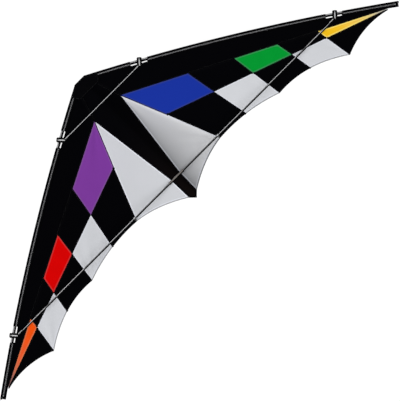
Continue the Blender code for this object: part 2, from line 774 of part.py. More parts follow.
def standoff_patch(label, side):
    """The reinforcing patch behind the sail at a standoff point."""
    grid = []
    inner_x, outer_x = P1[0] - PATCH_R, P1[0] + PATCH_R
    for x in (inner_x, P1[0], outer_x):
        end = trailing(x)[1] - 0.001
        grid.append([(x, end - PATCH_R), (x, end)])
    below = SAIL_THICKNESS + 2 * GAP

    def under(plan):
        return min(sail_z(plan), ridge_plane(plan)) - below

    data = sheet_mesh(f"{label}_standoff_patch", grid, side, SAIL_THICKNESS, under)
    place(f"{label}_standoff_patch", data, "webbing")


def ridge_plane(plan):
    """The height of the sharp ridge that the sail rounds off at the standoff point."""
    if abs(plan[0] - P1[0]) > 0.001:
        return 0.0
    return -DEPTH * (plan[1] / P1[1]) ** DEPTH_GROWTH


# Assembly


def stand_on_floor():
    """Pitch the kite until nose and standoff points share the floor, and centre it."""
    patch_low = ridge_plane(P1) - 1.5 * SAIL_THICKNESS - 2 * GAP
    pitch = math.atan2(CAP_BOTTOM_Z - patch_low, P1[1])
    FRAME.rotation_euler = (-pitch, 0, 0)
    bpy.context.view_layer.update()
    graph = bpy.context.evaluated_depsgraph_get()
    low, high = Vector((1e9,) * 3), Vector((-1e9,) * 3)
    for thing in KITE.objects:
        if thing.type == "EMPTY":
            continue
        shown = thing.evaluated_get(graph)
        data = shown.to_mesh()
        for vert in data.vertices:
            where = shown.matrix_world @ vert.co
            low = Vector(map(min, low, where))
            high = Vector(map(max, high, where))
        shown.to_mesh_clear()
    FRAME.location = (-(low.x + high.x) / 2, -(low.y + high.y) / 2, -low.z)


def main():
    spine()
    spreaders()
    centre_tee()
    nose_cap()
    centre_strip()
    for label, side in SIDES.items():
        leading_spar(label, side)
        tip_cap(label, side)
        sleeve(label, side)
        connector(label, "upper", side, UPPER_BEND_X, UPPER_S)
        connector(label, "lower", side, LOWER_BEND_X, LOWER_S)
        wing_panels(label, side)
        standoff(label, side)
        standoff_patch(label, side)
    stand_on_floor()


main()
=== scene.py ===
"""Looks of a delta stunt kite that lies flying side down on a pale floor, spreaders up.

Plan positions are (x, s): x outward from the spine, s back from the nose. Heights are z above
the plane of the leading-edge spars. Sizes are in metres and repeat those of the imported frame.
"""

from __future__ import annotations

import logging
import math
from dataclasses import dataclass, replace
from enum import Enum
from typing import Callable, Iterator, Sequence

import bmesh
import bpy
import numpy as np
from mathutils import Matrix, Vector


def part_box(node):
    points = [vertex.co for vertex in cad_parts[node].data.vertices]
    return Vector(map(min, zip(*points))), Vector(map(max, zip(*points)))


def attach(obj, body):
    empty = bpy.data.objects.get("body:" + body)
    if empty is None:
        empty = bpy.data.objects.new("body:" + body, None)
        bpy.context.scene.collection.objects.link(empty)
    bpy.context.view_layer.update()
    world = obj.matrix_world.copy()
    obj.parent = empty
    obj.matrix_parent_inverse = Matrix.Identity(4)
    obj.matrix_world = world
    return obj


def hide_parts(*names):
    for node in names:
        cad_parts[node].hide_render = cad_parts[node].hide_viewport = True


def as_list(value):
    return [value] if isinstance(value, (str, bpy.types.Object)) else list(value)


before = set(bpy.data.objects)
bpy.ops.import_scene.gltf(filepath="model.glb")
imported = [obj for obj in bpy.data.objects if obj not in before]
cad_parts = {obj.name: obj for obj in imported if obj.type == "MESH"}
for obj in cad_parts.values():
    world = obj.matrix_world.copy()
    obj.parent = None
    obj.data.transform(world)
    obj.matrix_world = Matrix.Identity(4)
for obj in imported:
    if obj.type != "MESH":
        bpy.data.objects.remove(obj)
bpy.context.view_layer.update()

LOG = logging.getLogger("stunt_kite")

norm = np.linalg.norm
Mesh = bpy.types.Mesh
Array = np.ndarray
Plan = tuple[float, float]
Colour = tuple[float, float, float]
Profile = Sequence[tuple[float, float]]
Path = Callable[[Array], Array]

UV_LAYER = "lay"
FAR = 1.0


class Side(Enum):
    """One wing of the kite, by the sign of its x."""

    RIGHT = 1.0
    LEFT = -1.0

    @property
    def label(self) -> str:
        """The word that starts the names of this wing's pieces."""
        return self.name.lower()


class Body(Enum):
    """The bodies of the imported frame."""

    KITE = "frame_and_sail"
    LEFT_STANDOFF = "left_standoff"
    RIGHT_STANDOFF = "right_standoff"

    @classmethod
    def standoff(cls, side: Side) -> Body:
        """The standoff's body on one wing."""
        return cls.RIGHT_STANDOFF if side is Side.RIGHT else cls.LEFT_STANDOFF


# Shader graphs


def operator(operation: str, swapped: bool = False) -> Callable[[Value, Value | float], Value]:
    """An operator that adds one Math node.

    Args:
        operation: The node's operation.
        swapped: Whether the other value comes first, as in 1 - mask.

    Returns:
        The method of a Value.
    """

    def method(self: Value, other: Value | float) -> Value:
        """One Math node on two values."""
        pair = (other, self) if swapped else (self, other)
        return self.graph.node("ShaderNodeMath", {"operation": operation}, dict(enumerate(pair)))

    return method


class Value:
    """A shader socket that can be used in a Python expression; | joins masks."""

    __add__ = __radd__ = operator("ADD")
    __sub__ = operator("SUBTRACT")
    __rsub__ = operator("SUBTRACT", swapped=True)
    __mul__ = __rmul__ = operator("MULTIPLY")
    __truediv__ = operator("DIVIDE")
    __rtruediv__ = operator("DIVIDE", swapped=True)
    __pow__ = operator("POWER")
    __or__ = __ror__ = operator("MAXIMUM")

    def __init__(self, graph: Graph, socket: bpy.types.NodeSocket) -> None:
        self.graph = graph
        self.socket = socket

    def alone(self, operation: str) -> Value:
        """One Math node on this value alone."""
        return self.graph.node("ShaderNodeMath", {"operation": operation}, {0: self})

    def wave(self, pitch: float) -> Value:
        """A triangle wave of the value, 1 at each whole pitch and 0 between."""
        return ((self / pitch).alone("FRACT") * 2 - 1).alone("ABSOLUTE")

    def rises(self, low: float, high: float) -> Value:
        """0 below low, 1 above high and smooth between."""
        return self.graph.node(
            "ShaderNodeMapRange",
            {"interpolation_type": "SMOOTHSTEP"},
            {"Value": self, "From Min": low, "From Max": high},
        )

    def falls(self, low: float, high: float) -> Value:
        """1 below low, 0 above high and smooth between."""
        return 1 - self.rises(low, high)


class Graph:
    """The node tree of one finish."""

    def __init__(self, name: str) -> None:
        self.material = bpy.data.materials.new(name)
        self.material.use_nodes = True
        self.tree = self.material.node_tree
        self.shader = self.tree.nodes["Principled BSDF"]

    def node(
        self,
        kind: str,
        settings: dict[str, object] | None = None,
        values: dict[int | str, object] | None = None,
        out: int | str = 0,
    ) -> Value:
        """Add one node.

        Args:
            kind: The node's type.
            settings: Its properties, set before its sockets.
            values: A number, colour, vector or Value for each socket, by name or place.
            out: The output that the Value stands for.

        Returns:
            The output as a Value.
        """
        made = self.tree.nodes.new(kind)
        for key, setting in (settings or {}).items():
            setattr(made, key, setting)
        for key, value in (values or {}).items():
            self.feed(made.inputs[key], value)
        return Value(self, made.outputs[out])

    def feed(self, socket: bpy.types.NodeSocket, value: object) -> None:
        """Link or set one socket."""
        if isinstance(value, Value):
            self.tree.links.new(value.socket, socket)
        elif isinstance(value, tuple) and socket.type == "RGBA":
            socket.default_value = (*value, 1.0)
        else:
            socket.default_value = value

    def lay(self) -> tuple[Value, Value]:
        """Distances in metres along and across the piece, from its UV map."""
        where = self.node("ShaderNodeUVMap", {"uv_map": UV_LAYER})
        return tuple(self.node("ShaderNodeSeparateXYZ", None, {0: where}, axis) for axis in (0, 1))

    def mark(self, name: str) -> Value:
        """A number that the mesh carries for each point."""
        return self.node("ShaderNodeAttribute", {"attribute_name": name}, None, "Fac")

    def noise(self, scale: float, detail: float = 2.0, laid: bool = False) -> Value:
        """Noise from 0 to 1, in space or laid along the piece."""
        if laid:
            where = self.node("ShaderNodeUVMap", {"uv_map": UV_LAYER})
        else:
            where = self.node("ShaderNodeTexCoord", None, None, "Object")
        return self.node(
            "ShaderNodeTexNoise", None, {"Vector": where, "Scale": scale, "Detail": detail}
        )

    def mix(self, share: Value | float, first: object, second: object) -> Value:
        """A colour between two, by share."""
        return self.node("ShaderNodeMix", {"data_type": "RGBA"}, {0: share, 6: first, 7: second}, 2)

    def scaled(self, colour: object, amount: Value | float) -> Value:
        """A colour made lighter or darker."""
        return self.node(
            "ShaderNodeVectorMath", {"operation": "SCALE"}, {0: colour, "Scale": amount}
        )

    def bump(self, height: Value, strength: float = 1.0) -> Value:
        """The normal of a surface raised by a height in metres."""
        values = {"Height": height, "Distance": 1.0, "Strength": strength}
        return self.node("ShaderNodeBump", None, values, "Normal")

    def principled(self, values: dict[str, object]) -> bpy.types.Material:
        """Set the shader's sockets and return the material."""
        for key, value in values.items():
            self.feed(self.shader.inputs[key], value)
        return self.material


# Finishes


@dataclass(frozen=True)
class Finish:
    """One surface: its name and the record's material slot."""

    name: str
    slot: str

    def material(self) -> bpy.types.Material:
        """The material, made once."""
        return bpy.data.materials.get(self.name) or self.paint(Graph(self.name))

    def paint(self, graph: Graph) -> bpy.types.Material:
        """Build the node tree; each finish has its own."""
        raise NotImplementedError


@dataclass(frozen=True)
class Sailcloth(Finish):
    """Ripstop: a fine weave with a raised grid, doubled and paler along its seams."""

    colour: Colour
    seam_colour: Colour
    far_colour: Colour | None = None
    far_power: float = 1.0
    seam_band: float = 0.0055
    seam_share: float = 0.8
    hem_band: float = 0.0090
    # The next two paint shade on the inner rear of a panel and light on its lower middle.
    inner_painted_shade: float = 0.0
    painted_belly_light: float = 0.0
    end_colour: Colour | None = None
    edge_blur: float = 0.0008
    grid_pitch: float = 0.005
    grid_tone: float = 0.05
    roughness: float = 0.55
    specular: float = 0.03

    def paint(self, graph: Graph) -> bpy.types.Material:
        """Colour, painted shade and painted light by place on the panel, grid, weave and seam
        allowances.
        """
        along, across = graph.lay()
        lines = (along.wave(self.grid_pitch) | across.wave(self.grid_pitch)).rises(0.80, 0.94)
        half = self.edge_blur / 2
        doubled = graph.mark("seam").falls(self.seam_band - half, self.seam_band + half)
        turned = graph.mark("hem").falls(self.hem_band - half, self.hem_band + half)
        allowance = doubled | turned
        across_panel = graph.mark("across")
        colour = self.colour
        if self.far_colour:
            colour = graph.mix(across_panel ** self.far_power, colour, self.far_colour)
        # Painted shade toward the inner rear and painted light on the lower middle of the panel.
        down = graph.mark("down")
        shade = 1 - self.inner_painted_shade * down * (1 - across_panel)
        shade = shade + self.painted_belly_light * down ** 4 * across_panel * (1 - across_panel)
        colour = graph.mix(allowance * self.seam_share, colour, self.seam_colour)
        if self.end_colour:
            colour = graph.mix(across_panel.rises(0.60, 1.0), colour, self.end_colour)
        handled = graph.noise(7.0, 3.0)
        weave = graph.noise(2600.0, 0.0, laid=True)
        tone = shade * (0.955 + 0.07 * handled + 0.03 * weave + self.grid_tone * lines)
        height = 0.00006 * lines + 0.0002 * allowance + 0.00002 * weave
        rough = self.roughness - 0.05 * lines + 0.08 * handled
        return graph.principled({
            "Base Color": graph.scaled(colour, tone),
            "Roughness": rough,
            "Normal": graph.bump(height, 0.7),
            "Specular IOR Level": self.specular,
        })


@dataclass(frozen=True)
class Woven(Finish):
    """Woven tape or coated polyester, with ribs across its length."""

    colour: Colour
    worn_colour: Colour
    rib_pitch: float = 0.0012
    roughness: float = 0.8
    specular: float = 0.2
    rib_height: float = 0.00008

    def paint(self, graph: Graph) -> bpy.types.Material:
        """Ribs and cross threads, rubbed paler in patches."""
        along, across = graph.lay()
        ribs = along.wave(self.rib_pitch)
        threads = (across + 0.5 * along).wave(self.rib_pitch * 0.8)
        rubbed = (graph.noise(60.0, 4.0) * 0.6 + graph.noise(900.0, 1.0) * 0.4).rises(0.48, 0.75)
        colour = graph.mix(rubbed * 0.5, self.colour, self.worn_colour)
        tone = 0.85 + 0.18 * ribs + 0.10 * threads
        height = self.rib_height * (ribs + 0.6 * threads)
        return graph.principled({
            "Base Color": graph.scaled(colour, tone),
            "Roughness": self.roughness - 0.12 * rubbed,
            "Normal": graph.bump(height, 0.8),
            "Specular IOR Level": self.specular,
        })


@dataclass(frozen=True)
class Thread(Finish):
    """Twisted sewing thread."""

    colour: Colour
    twist_pitch: float = 0.0007

    def paint(self, graph: Graph) -> bpy.types.Material:
        """Slanted strands, shaded between."""
        along, across = graph.lay()
        strands = (along + across).wave(self.twist_pitch)
        tone = 0.75 + 0.35 * strands
        return graph.principled({
            "Base Color": graph.scaled(self.colour, tone),
            "Roughness": 0.6 - 0.1 * strands,
            "Normal": graph.bump(0.00006 * strands, 0.6),
            "Specular IOR Level": 0.3,
        })


@dataclass(frozen=True)
class WoundTube(Finish):
    """Pultruded or wound tube: fine fibres along it under a thin clear resin."""

    colour: Colour
    fibre_colour: Colour
    # A painted highlight, in this colour, on the side that faces a set direction.
    highlight_colour: Colour
    metallic: float
    roughness: float
    coat: float
    highlight_from: float = 0.60
    highlight_full: float = 0.97
    specular: float = 0.5
    highlight_dull_spans: tuple[tuple[float, float], ...] = ()
    highlight_dull_share: float = 0.75
    highlight_dull_blur: float = 0.008

    def paint(self, graph: Graph) -> bpy.types.Material:
        """Fibre streaks, a faint spiral wrap, and a painted highlight on the crest that some spans
        dull.
        """
        along, across = graph.lay()
        wrap = (along + 1.6 * across).wave(0.011)
        streak = graph.noise(700.0, 2.0)
        scratch = graph.noise(160.0, 5.0).rises(0.60, 0.72)
        colour = graph.mix(0.55 * streak + 0.2 * wrap, self.colour, self.fibre_colour)
        # Painted highlight on the crest, dulled over the listed spans.
        crest = graph.mark("crest").rises(self.highlight_from, self.highlight_full)
        blur = self.highlight_dull_blur
        for low, high in self.highlight_dull_spans:
            span = along.rises(low - blur, low + blur) * along.falls(high - blur, high + blur)
            crest = crest * (1 - self.highlight_dull_share * span)
        colour = graph.mix(crest, colour, self.highlight_colour)
        rough = self.roughness + 0.08 * streak + 0.15 * scratch
        height = 0.00003 * wrap + 0.00001 * streak
        return graph.principled({
            "Base Color": colour,
            "Metallic": self.metallic,
            "Roughness": rough,
            "Coat Weight": self.coat - 0.3 * self.coat * scratch,
            "Coat Roughness": 0.12,
            "Normal": graph.bump(height, 0.5),
            "Specular IOR Level": self.specular,
        })


@dataclass(frozen=True)
class Moulded(Finish):
    """Moulded rubber or plastic with a fine spark-eroded grain."""

    colour: Colour
    worn_colour: Colour
    # A painted highlight, in this colour, on the side that faces a set direction.
    highlight_colour: Colour
    roughness: float
    highlight_from: float = 0.84
    highlight_full: float = 0.95
    specular: float = 0.5
    grain: float = 0.00004

    def paint(self, graph: Graph) -> bpy.types.Material:
        """Grain, flow marks, paler rubbed spots and a painted highlight on the crest."""
        grain = graph.noise(1500.0, 2.0)
        flow = graph.noise(90.0, 3.0)
        rubbed = (0.7 * flow + 0.3 * grain).rises(0.50, 0.70)
        # Painted highlight on the side that faces a set direction.
        crest = graph.mark("crest").rises(self.highlight_from, self.highlight_full)
        colour = graph.mix(rubbed * 0.6, self.colour, self.worn_colour)
        colour = graph.mix(crest, colour, self.highlight_colour)
        return graph.principled({
            "Base Color": graph.scaled(colour, 0.9 + 0.2 * flow),
            "Roughness": self.roughness + 0.12 * grain - 0.10 * rubbed,
            "Normal": graph.bump(self.grain * grain + 0.00008 * flow, 0.6),
            "Specular IOR Level": self.specular,
        })


@dataclass(frozen=True)
class FloorPaper(Finish):
    """The pale studio floor."""

    colour: Colour
    glow: float

    def paint(self, graph: Graph) -> bpy.types.Material:
        """Almost even paper that glows of itself, so that shadows stay faint."""
        mottle = graph.noise(3.0, 3.0)
        return graph.principled({
            "Base Color": graph.scaled(self.colour, 0.985 + 0.02 * mottle),
            "Roughness": 0.9,
            "Specular IOR Level": 0.0,
            "Emission Color": (1.0, 1.0, 1.0),
            "Emission Strength": self.glow,
        })


BLACK: Colour = (0.0009, 0.0009, 0.0015)
LIGHT: Colour = (0.600, 0.611, 0.640)
# The light ripstop painted darker for the left keel: painted shade.
KEEL_LIGHT_PAINTED_DARKER: Colour = (0.520, 0.530, 0.556)
PALE: Colour = (0.660, 0.675, 0.730)

BLACK_CLOTH = Sailcloth(
    "black_sailcloth", "black_ripstop", BLACK, (0.0016, 0.0016, 0.0022),
    grid_tone=0.35, roughness=0.8, specular=0.01,
)
STRIP_CLOTH = Sailcloth(
    "strip_cloth", "black_ripstop", BLACK, (0.0018, 0.0016, 0.0018), (0.0042, 0.0028, 0.0024),
    far_power=3.0, grid_tone=0.35, roughness=0.8, specular=0.01,
)
LIGHT_CLOTH = Sailcloth("light_sailcloth", "light_ripstop", LIGHT, PALE)
# The right keel's colour runs from dark by the spine to light outward, with painted shade and
# painted light; the left keel's darker colour is painted shade.
KEEL_CLOTHS = {
    Side.RIGHT: Sailcloth(
        "shaded_keel_cloth", "light_ripstop", (0.270, 0.276, 0.294), PALE, (0.740, 0.745, 0.765),
        far_power=0.36, inner_painted_shade=0.40, painted_belly_light=1.18,
    ),
    Side.LEFT: Sailcloth("keel_cloth", "light_ripstop", KEEL_LIGHT_PAINTED_DARKER, PALE),
}


def coloured(hue: str, colour: Colour, seam_colour: Colour, **fade: object) -> Sailcloth:
    """The cloth of one hue, plain or turning greyer and, at the very end, darker toward the panel's
    outer end.
    """
    return Sailcloth(f"{hue}_sailcloth", f"{hue}_ripstop", colour, seam_colour, **fade)


COLOUR_CLOTHS = {
    Side.RIGHT: (
        coloured("blue", (0.0080, 0.029, 0.310), (0.028, 0.042, 0.215)),
        coloured("green", (0.0, 0.285, 0.028), (0.040, 0.235, 0.085)),
        coloured(
            "yellow", (0.860, 0.500, 0.010), (0.880, 0.680, 0.160),
            far_colour=(0.740, 0.595, 0.335), far_power=2.2, end_colour=(0.44, 0.42, 0.39),
        ),
    ),
    Side.LEFT: (
        coloured("purple", (0.190, 0.040, 0.310), (0.190, 0.075, 0.270)),
        coloured("red", (0.640, 0.0, 0.0), (0.540, 0.035, 0.035)),
        coloured(
            "orange", (0.840, 0.080, 0.003), (0.640, 0.160, 0.060),
            far_colour=(0.445, 0.152, 0.108), far_power=2.2, end_colour=(0.19, 0.115, 0.115),
        ),
    ),
}
SLEEVE_CLOTH = Woven(
    "sleeve_polyester", "sleeve_fabric", (0.0010, 0.0010, 0.0014), (0.0018, 0.0018, 0.0022),
    rib_pitch=0.0009, roughness=0.9, specular=0.01, rib_height=0.00004,
)
EDGE_TAPE = Woven("edge_tape", "sleeve_fabric", (0.060, 0.060, 0.062), (0.09, 0.09, 0.09))
SEAM_TAPE = Woven(
    "seam_tape", "black_ripstop", (0.0008, 0.0008, 0.0013), (0.0013, 0.0013, 0.0018),
    specular=0.01,
)
KEEL_TAPES = {
    side: Woven(f"{hue}_keel_tape", "black_ripstop", colour, worn, specular=0.01)
    for side, hue, colour, worn in (
        (Side.RIGHT, "navy", (0.004, 0.006, 0.050), (0.006, 0.009, 0.060)),
        (Side.LEFT, "plum", (0.030, 0.006, 0.050), (0.038, 0.008, 0.060)),
    )
}
LIGHT_HEM = Woven("light_hem", "light_ripstop", (0.330, 0.335, 0.345), (0.40, 0.40, 0.41))
# A darker copy of the light hem for the right keel: painted shade.
RIGHT_KEEL_PAINTED_SHADE_HEM = Woven("painted_shade_hem", "light_ripstop", (0.210, 0.215, 0.222), (0.25, 0.25, 0.255))
WEBBING = Woven(
    "nose_webbing", "webbing", (0.0009, 0.0009, 0.0014), (0.0016, 0.0016, 0.0021),
    rib_pitch=0.0022, rib_height=0.00018, specular=0.02,
)
DARK_THREAD = Thread("dark_thread", "sleeve_fabric", (0.0022, 0.0022, 0.0026))
GREY_THREAD = Thread("grey_thread", "sleeve_fabric", (0.50, 0.50, 0.51))
PALE_THREAD = Thread("pale_thread", "light_ripstop", (0.42, 0.42, 0.42))
DARK = (0.0015, 0.0015, 0.0018), (0.003, 0.003, 0.0033)
# The tubes' crest colours are painted highlights; on the lower spreaders they are dulled over some
# spans, also painted.
CARBON = WoundTube(
    "wound_carbon", "carbon", (0.055, 0.056, 0.060), (0.16, 0.16, 0.17), (0.30, 0.30, 0.31),
    metallic=0.3, roughness=0.30, coat=0.6,
)
SPREADER_CARBON = WoundTube(
    "spreader_carbon", "carbon", (0.0015, 0.0015, 0.002), (0.004, 0.004, 0.0045),
    (0.53, 0.53, 0.54), metallic=0.0, roughness=0.75, coat=0.0,
    highlight_from=0.90, highlight_full=0.945, specular=0.02,
)
LOWER_CARBON = replace(
    SPREADER_CARBON,
    name="lower_spreader_carbon",
    highlight_dull_spans=((0.038, 0.240), (0.392, 0.548), (0.718, 0.783)),
)
ROD = WoundTube(
    "standoff_rod_resin", "fibreglass", (0.02, 0.02, 0.021), (0.05, 0.05, 0.05), (0.05, 0.05, 0.05),
    metallic=0.1, roughness=0.35, coat=0.3,
)
# The mouldings' crest colours are painted highlights.
RUBBER = Moulded(
    "black_rubber", "rubber", *DARK, (0.52, 0.52, 0.52),
    roughness=0.8, highlight_from=0.982, highlight_full=0.997, specular=0.02,
)
CAP_RUBBER = Moulded(
    "cap_rubber", "rubber", (0.002, 0.002, 0.0025), (0.004, 0.004, 0.0045), (0.02, 0.02, 0.02),
    roughness=0.7, specular=0.05,
)
MATT_RUBBER = Moulded(
    "matt_rubber", "rubber", *DARK, DARK[1], roughness=0.7, specular=0.02,
)
TEE_RUBBER = Moulded(
    "tee_moulding", "tee_rubber", (0.003, 0.0025, 0.002), (0.006, 0.005, 0.004),
    (0.165, 0.150, 0.140), roughness=0.8, highlight_from=0.70, highlight_full=0.82, specular=0.02,
)
CLIP_PLASTIC = Moulded(
    "clip_moulding", "clip_plastic", (0.010, 0.010, 0.011), (0.020, 0.020, 0.021),
    (0.50, 0.51, 0.52), roughness=0.5, highlight_from=0.66, highlight_full=0.80,
)
FLOOR = FloorPaper("floor_paper", "floor", (0.10, 0.10, 0.10), glow=0.965)


# Plan and stand of the kite


def walked(line: Array) -> Array:
    """The distance along a line to each of its points."""
    return np.concatenate([[0.0], np.cumsum(norm(np.diff(line, axis=0), axis=1))])


def crossed(rows: Array, columns: Array) -> Array:
    """A grid of pairs, of each row's number with each column's."""
    return np.stack(np.broadcast_arrays(rows[:, None], columns[None]), -1)


def along(*points: Plan) -> Path:
    """A path at even speed through plan points."""
    corners = np.array(points, float)
    reached = walked(corners)
    shares = reached / reached[-1]
    return lambda t: np.stack([np.interp(t, shares, corners[:, k]) for k in (0, 1)], -1)


def lerp(p: Plan, q: Plan, t: float) -> Plan:
    """The point at a share of the way from p to q."""
    return p[0] + t * (q[0] - p[0]), p[1] + t * (q[1] - p[1])


def ease(value: Array, low: float, high: float) -> Array:
    """0 below low, 1 above high and smooth between."""
    t = np.clip((value - low) / (high - low), 0.0, 1.0)
    return t * t * (3 - 2 * t)


@dataclass(frozen=True)
class KitePlan:
    """Outline, seams and depth of the kite, the same for both wings."""

    nose_corner: Plan = (0.0342, 0.0038)
    edge_middle: Plan = (0.6159, 0.3332)
    wing_tip: Plan = (1.1990, 0.7210)
    spar_inset: float = 0.0043
    sail_inset: float = 0.0146
    flat_inset: float = 0.0262
    a: Plan = (0.0787, 0.1695)
    d: Plan = (0.1600, 0.3663)
    t: Plan = (1.1522, 0.7180)
    front_seam_x: tuple[float, ...] = (0.3490, 0.5340, 0.7072, 0.8696)
    rear_seam_x: tuple[float, ...] = (0.3732, 0.5476, 0.7214, 0.8760)
    tail: Plan = (0.0, 0.7104)
    strip_tail: Plan = (0.0232, 0.6878)
    p1: Plan = (0.2536, 0.6009)
    p2: Plan = (0.5678, 0.6450)
    p3: Plan = (0.8955, 0.7418)
    hem_end: Plan = (1.1556, 0.7240)
    sags: tuple[float, ...] = (0.0, 0.0145, 0.0165, 0.0320, 0.0230)
    hem_seam_x: tuple[float, float] = (0.4060, 0.7388)
    strip_nose_half: float = 0.028
    strip_waist: Plan = (0.0260, 0.574)
    strip_flat: float = 0.008
    strip_sink: float = 0.0052
    depth_most: float = 0.150
    depth_growth: float = 1.1
    fold_height: float = 0.0011

    def centre(self) -> tuple[Array, float]:
        """Centre and radius of the leading-edge arc."""
        p, q, r = (np.array(v) for v in (self.nose_corner, self.edge_middle, self.wing_tip))
        sides = 2 * np.array([q - p, r - p])
        centre = np.linalg.solve(sides, [q @ q - p @ p, r @ r - p @ p])
        return centre, float(norm(centre - p))

    def angle(self, plan: Array | Plan) -> Array:
        """The arc's angle at a plan position."""
        centre, _ = self.centre()
        away = np.asarray(plan, float) - centre
        return np.arctan2(away[..., 1], away[..., 0])

    @property
    def edge_length(self) -> float:
        """Length of the leading edge."""
        return self.centre()[1] * float(self.angle(self.wing_tip) - self.angle(self.nose_corner))

    def edge(self, inset: Array | float, t: Array | float) -> Array:
        """Points at fraction t from nose to tip, that far inside the leading edge."""
        centre, radius = self.centre()
        start, end = self.angle(self.nose_corner), self.angle(self.wing_tip)
        turned = start + np.asarray(t, float) * (end - start)
        r = radius - np.asarray(inset, float)
        return np.stack([centre[0] + r * np.cos(turned), centre[1] + r * np.sin(turned)], -1)

    def inset(self, plan: Array) -> Array:
        """How far plan positions lie inside the leading edge."""
        centre, radius = self.centre()
        return radius - norm(np.asarray(plan, float) - centre, axis=-1)

    def fraction(self, plan: Array | Plan) -> Array:
        """The share of the leading edge, nose to tip, at plan positions."""
        start, end = self.angle(self.nose_corner), self.angle(self.wing_tip)
        return (self.angle(plan) - start) / (end - start)

    def on_seam(self, start: Plan, x: float) -> Plan:
        """The point at x on the straight seam from start to the tip corner."""
        return lerp(start, self.t, (x - start[0]) / (self.t[0] - start[0]))

    def front_corners(self) -> list[Plan]:
        """Corners on the seam behind the leading panel, inner to outer."""
        return [self.on_seam(self.a, x) for x in self.front_seam_x]

    def rear_corners(self) -> list[Plan]:
        """Corners on the seam in front of the trailing panels, inner to outer."""
        return [self.on_seam(self.d, x) for x in self.rear_seam_x]

    def trailing(self, x: Array) -> Array:
        """Hem points at distances x from the spine."""
        x = np.asarray(x, float)
        ends = (self.tail, self.strip_tail, self.p1, self.p2, self.p3, self.hem_end)
        s = np.full_like(x, self.hem_end[1])
        for inner, outer, sag in reversed(list(zip(ends, ends[1:], self.sags))):
            t = (x - inner[0]) / (outer[0] - inner[0])
            here = inner[1] + t * (outer[1] - inner[1]) - 4 * sag * t * (1 - t)
            s = np.where(x <= outer[0], here, s)
        return np.stack([x, s], -1)

    def hem(self, x0: float, x1: float) -> Path:
        """The stretch of the trailing edge from x0 to x1."""
        return lambda t: self.trailing(x0 + np.asarray(t, float) * (x1 - x0))

    def strip_half(self, s: Array) -> Array:
        """Half the width of the centre strip at s."""
        edge = np.array([
            (self.strip_nose_half, self.nose_corner[1]), self.a, self.strip_waist, self.strip_tail,
        ])
        return np.interp(s, edge[:, 1], edge[:, 0])

    def depth(self, plan: Array) -> Array:
        """How far the sail lies behind the plane of the leading edge."""
        x = np.abs(plan[..., 0])
        s = np.maximum(plan[..., 1], 1e-5)
        inset = self.inset(np.stack([x, s], -1))
        reach = np.minimum(s, self.p1[1]) / self.p1[1]
        ridge_depth = self.depth_most * reach**self.depth_growth
        ridge = np.stack([self.p1[0] * reach, self.p1[1] * reach], -1)
        outer = ridge_depth / np.maximum(self.inset(ridge) - self.flat_inset, 0.02)
        outer = outer * (inset - self.flat_inset)
        inner = np.maximum(ridge_depth - self.strip_sink, 0.0)
        inner = inner / np.maximum(ridge[..., 0] - self.strip_flat, 0.02)
        inner = self.strip_sink + inner * np.maximum(x - self.strip_flat, 0.0)
        round_off = ridge_depth * (0.12 - 0.10 * reach**6)
        blended = (inner + outer - np.hypot(inner - outer, round_off)) / 2
        return np.where(inset <= self.flat_inset, 0.0, np.maximum(blended, 0.0))

    def folds(self, plan: Array) -> Array:
        """Shallow folds that run from what pulls on the cloth, none where other parts sit."""
        x, s = np.abs(plan[..., 0]), plan[..., 1]
        turn = 0.9 * np.sign(plan[..., 0])
        total = np.zeros_like(x)
        pulls = (
            (self.p1, 0.10, 19, 0.35), (self.p2, 0.08, 15, 0.6), (self.p3, 0.07, 13, 0.6),
            (self.a, 0.09, 17, 0.5), (self.t, 0.09, 21, 0.5),
        )
        for at, reach, count, share in pulls:
            r = np.hypot(x - at[0], s - at[1])
            around = np.arctan2(x - at[0], at[1] - s)
            swell = (r / reach) * np.exp(1 - r / reach)
            total += share * swell * np.sin(count * around + turn * count + 0.3 * count)
        far = self.inset(np.stack([x, s], -1))
        run = self.fraction(np.stack([x, s], -1)) * self.edge_length
        total += 0.5 * np.sin(run / 0.017 + 1.3 * np.sin(run / 0.043)) * np.exp(-far / 0.06)
        calm = ease(x, 0.030, 0.085) * ease(far, self.flat_inset, 0.055)
        calm *= ease(np.hypot(x - self.p1[0], s - self.p1[1]), 0.030, 0.065)
        return self.fold_height * total * calm

    def sail(self, plan: Array) -> Array:
        """Height of the middle of the cloth."""
        return self.folds(plan) - self.depth(plan)


PLAN = KitePlan()


@dataclass(frozen=True)
class Stand:
    """How the kite lies: pitched until its nose and its standoff points share the floor."""

    pitch: float
    y: float
    z: float

    @classmethod
    def from_frame(cls) -> Stand:
        """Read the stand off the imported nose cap."""
        low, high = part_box("nose_cap")
        patch_low = -PLAN.depth_most - 1.5 * Standoffs.cloth - 2 * Standoffs.gap
        pitch = math.atan2(NoseCap.bottom_z - patch_low, PLAN.p1[1])
        return cls(
            pitch,
            high.y - NoseCap.top_z * math.sin(pitch),
            low.z - NoseCap.bottom_z * math.cos(pitch),
        )

    def world(self, plan: Array, z: Array | float, side: Side) -> Array:
        """World points of plan positions at heights on one wing."""
        c, k = math.cos(self.pitch), math.sin(self.pitch)
        x, s = side.value * plan[..., 0], plan[..., 1]
        z = np.broadcast_to(z, s.shape)
        return np.stack([x, self.y - s * c + z * k, self.z + s * k + z * c], -1)

    def point(self, x: float, s: float, z: float) -> Vector:
        """One world point."""
        return Vector(self.world(np.array([x, s], float), z, Side.RIGHT))

    def way(self, x: float, s: float, z: float) -> Vector:
        """The world direction of a plan and height step."""
        return self.point(x, s, z) - self.point(0.0, 0.0, 0.0)


# Meshes


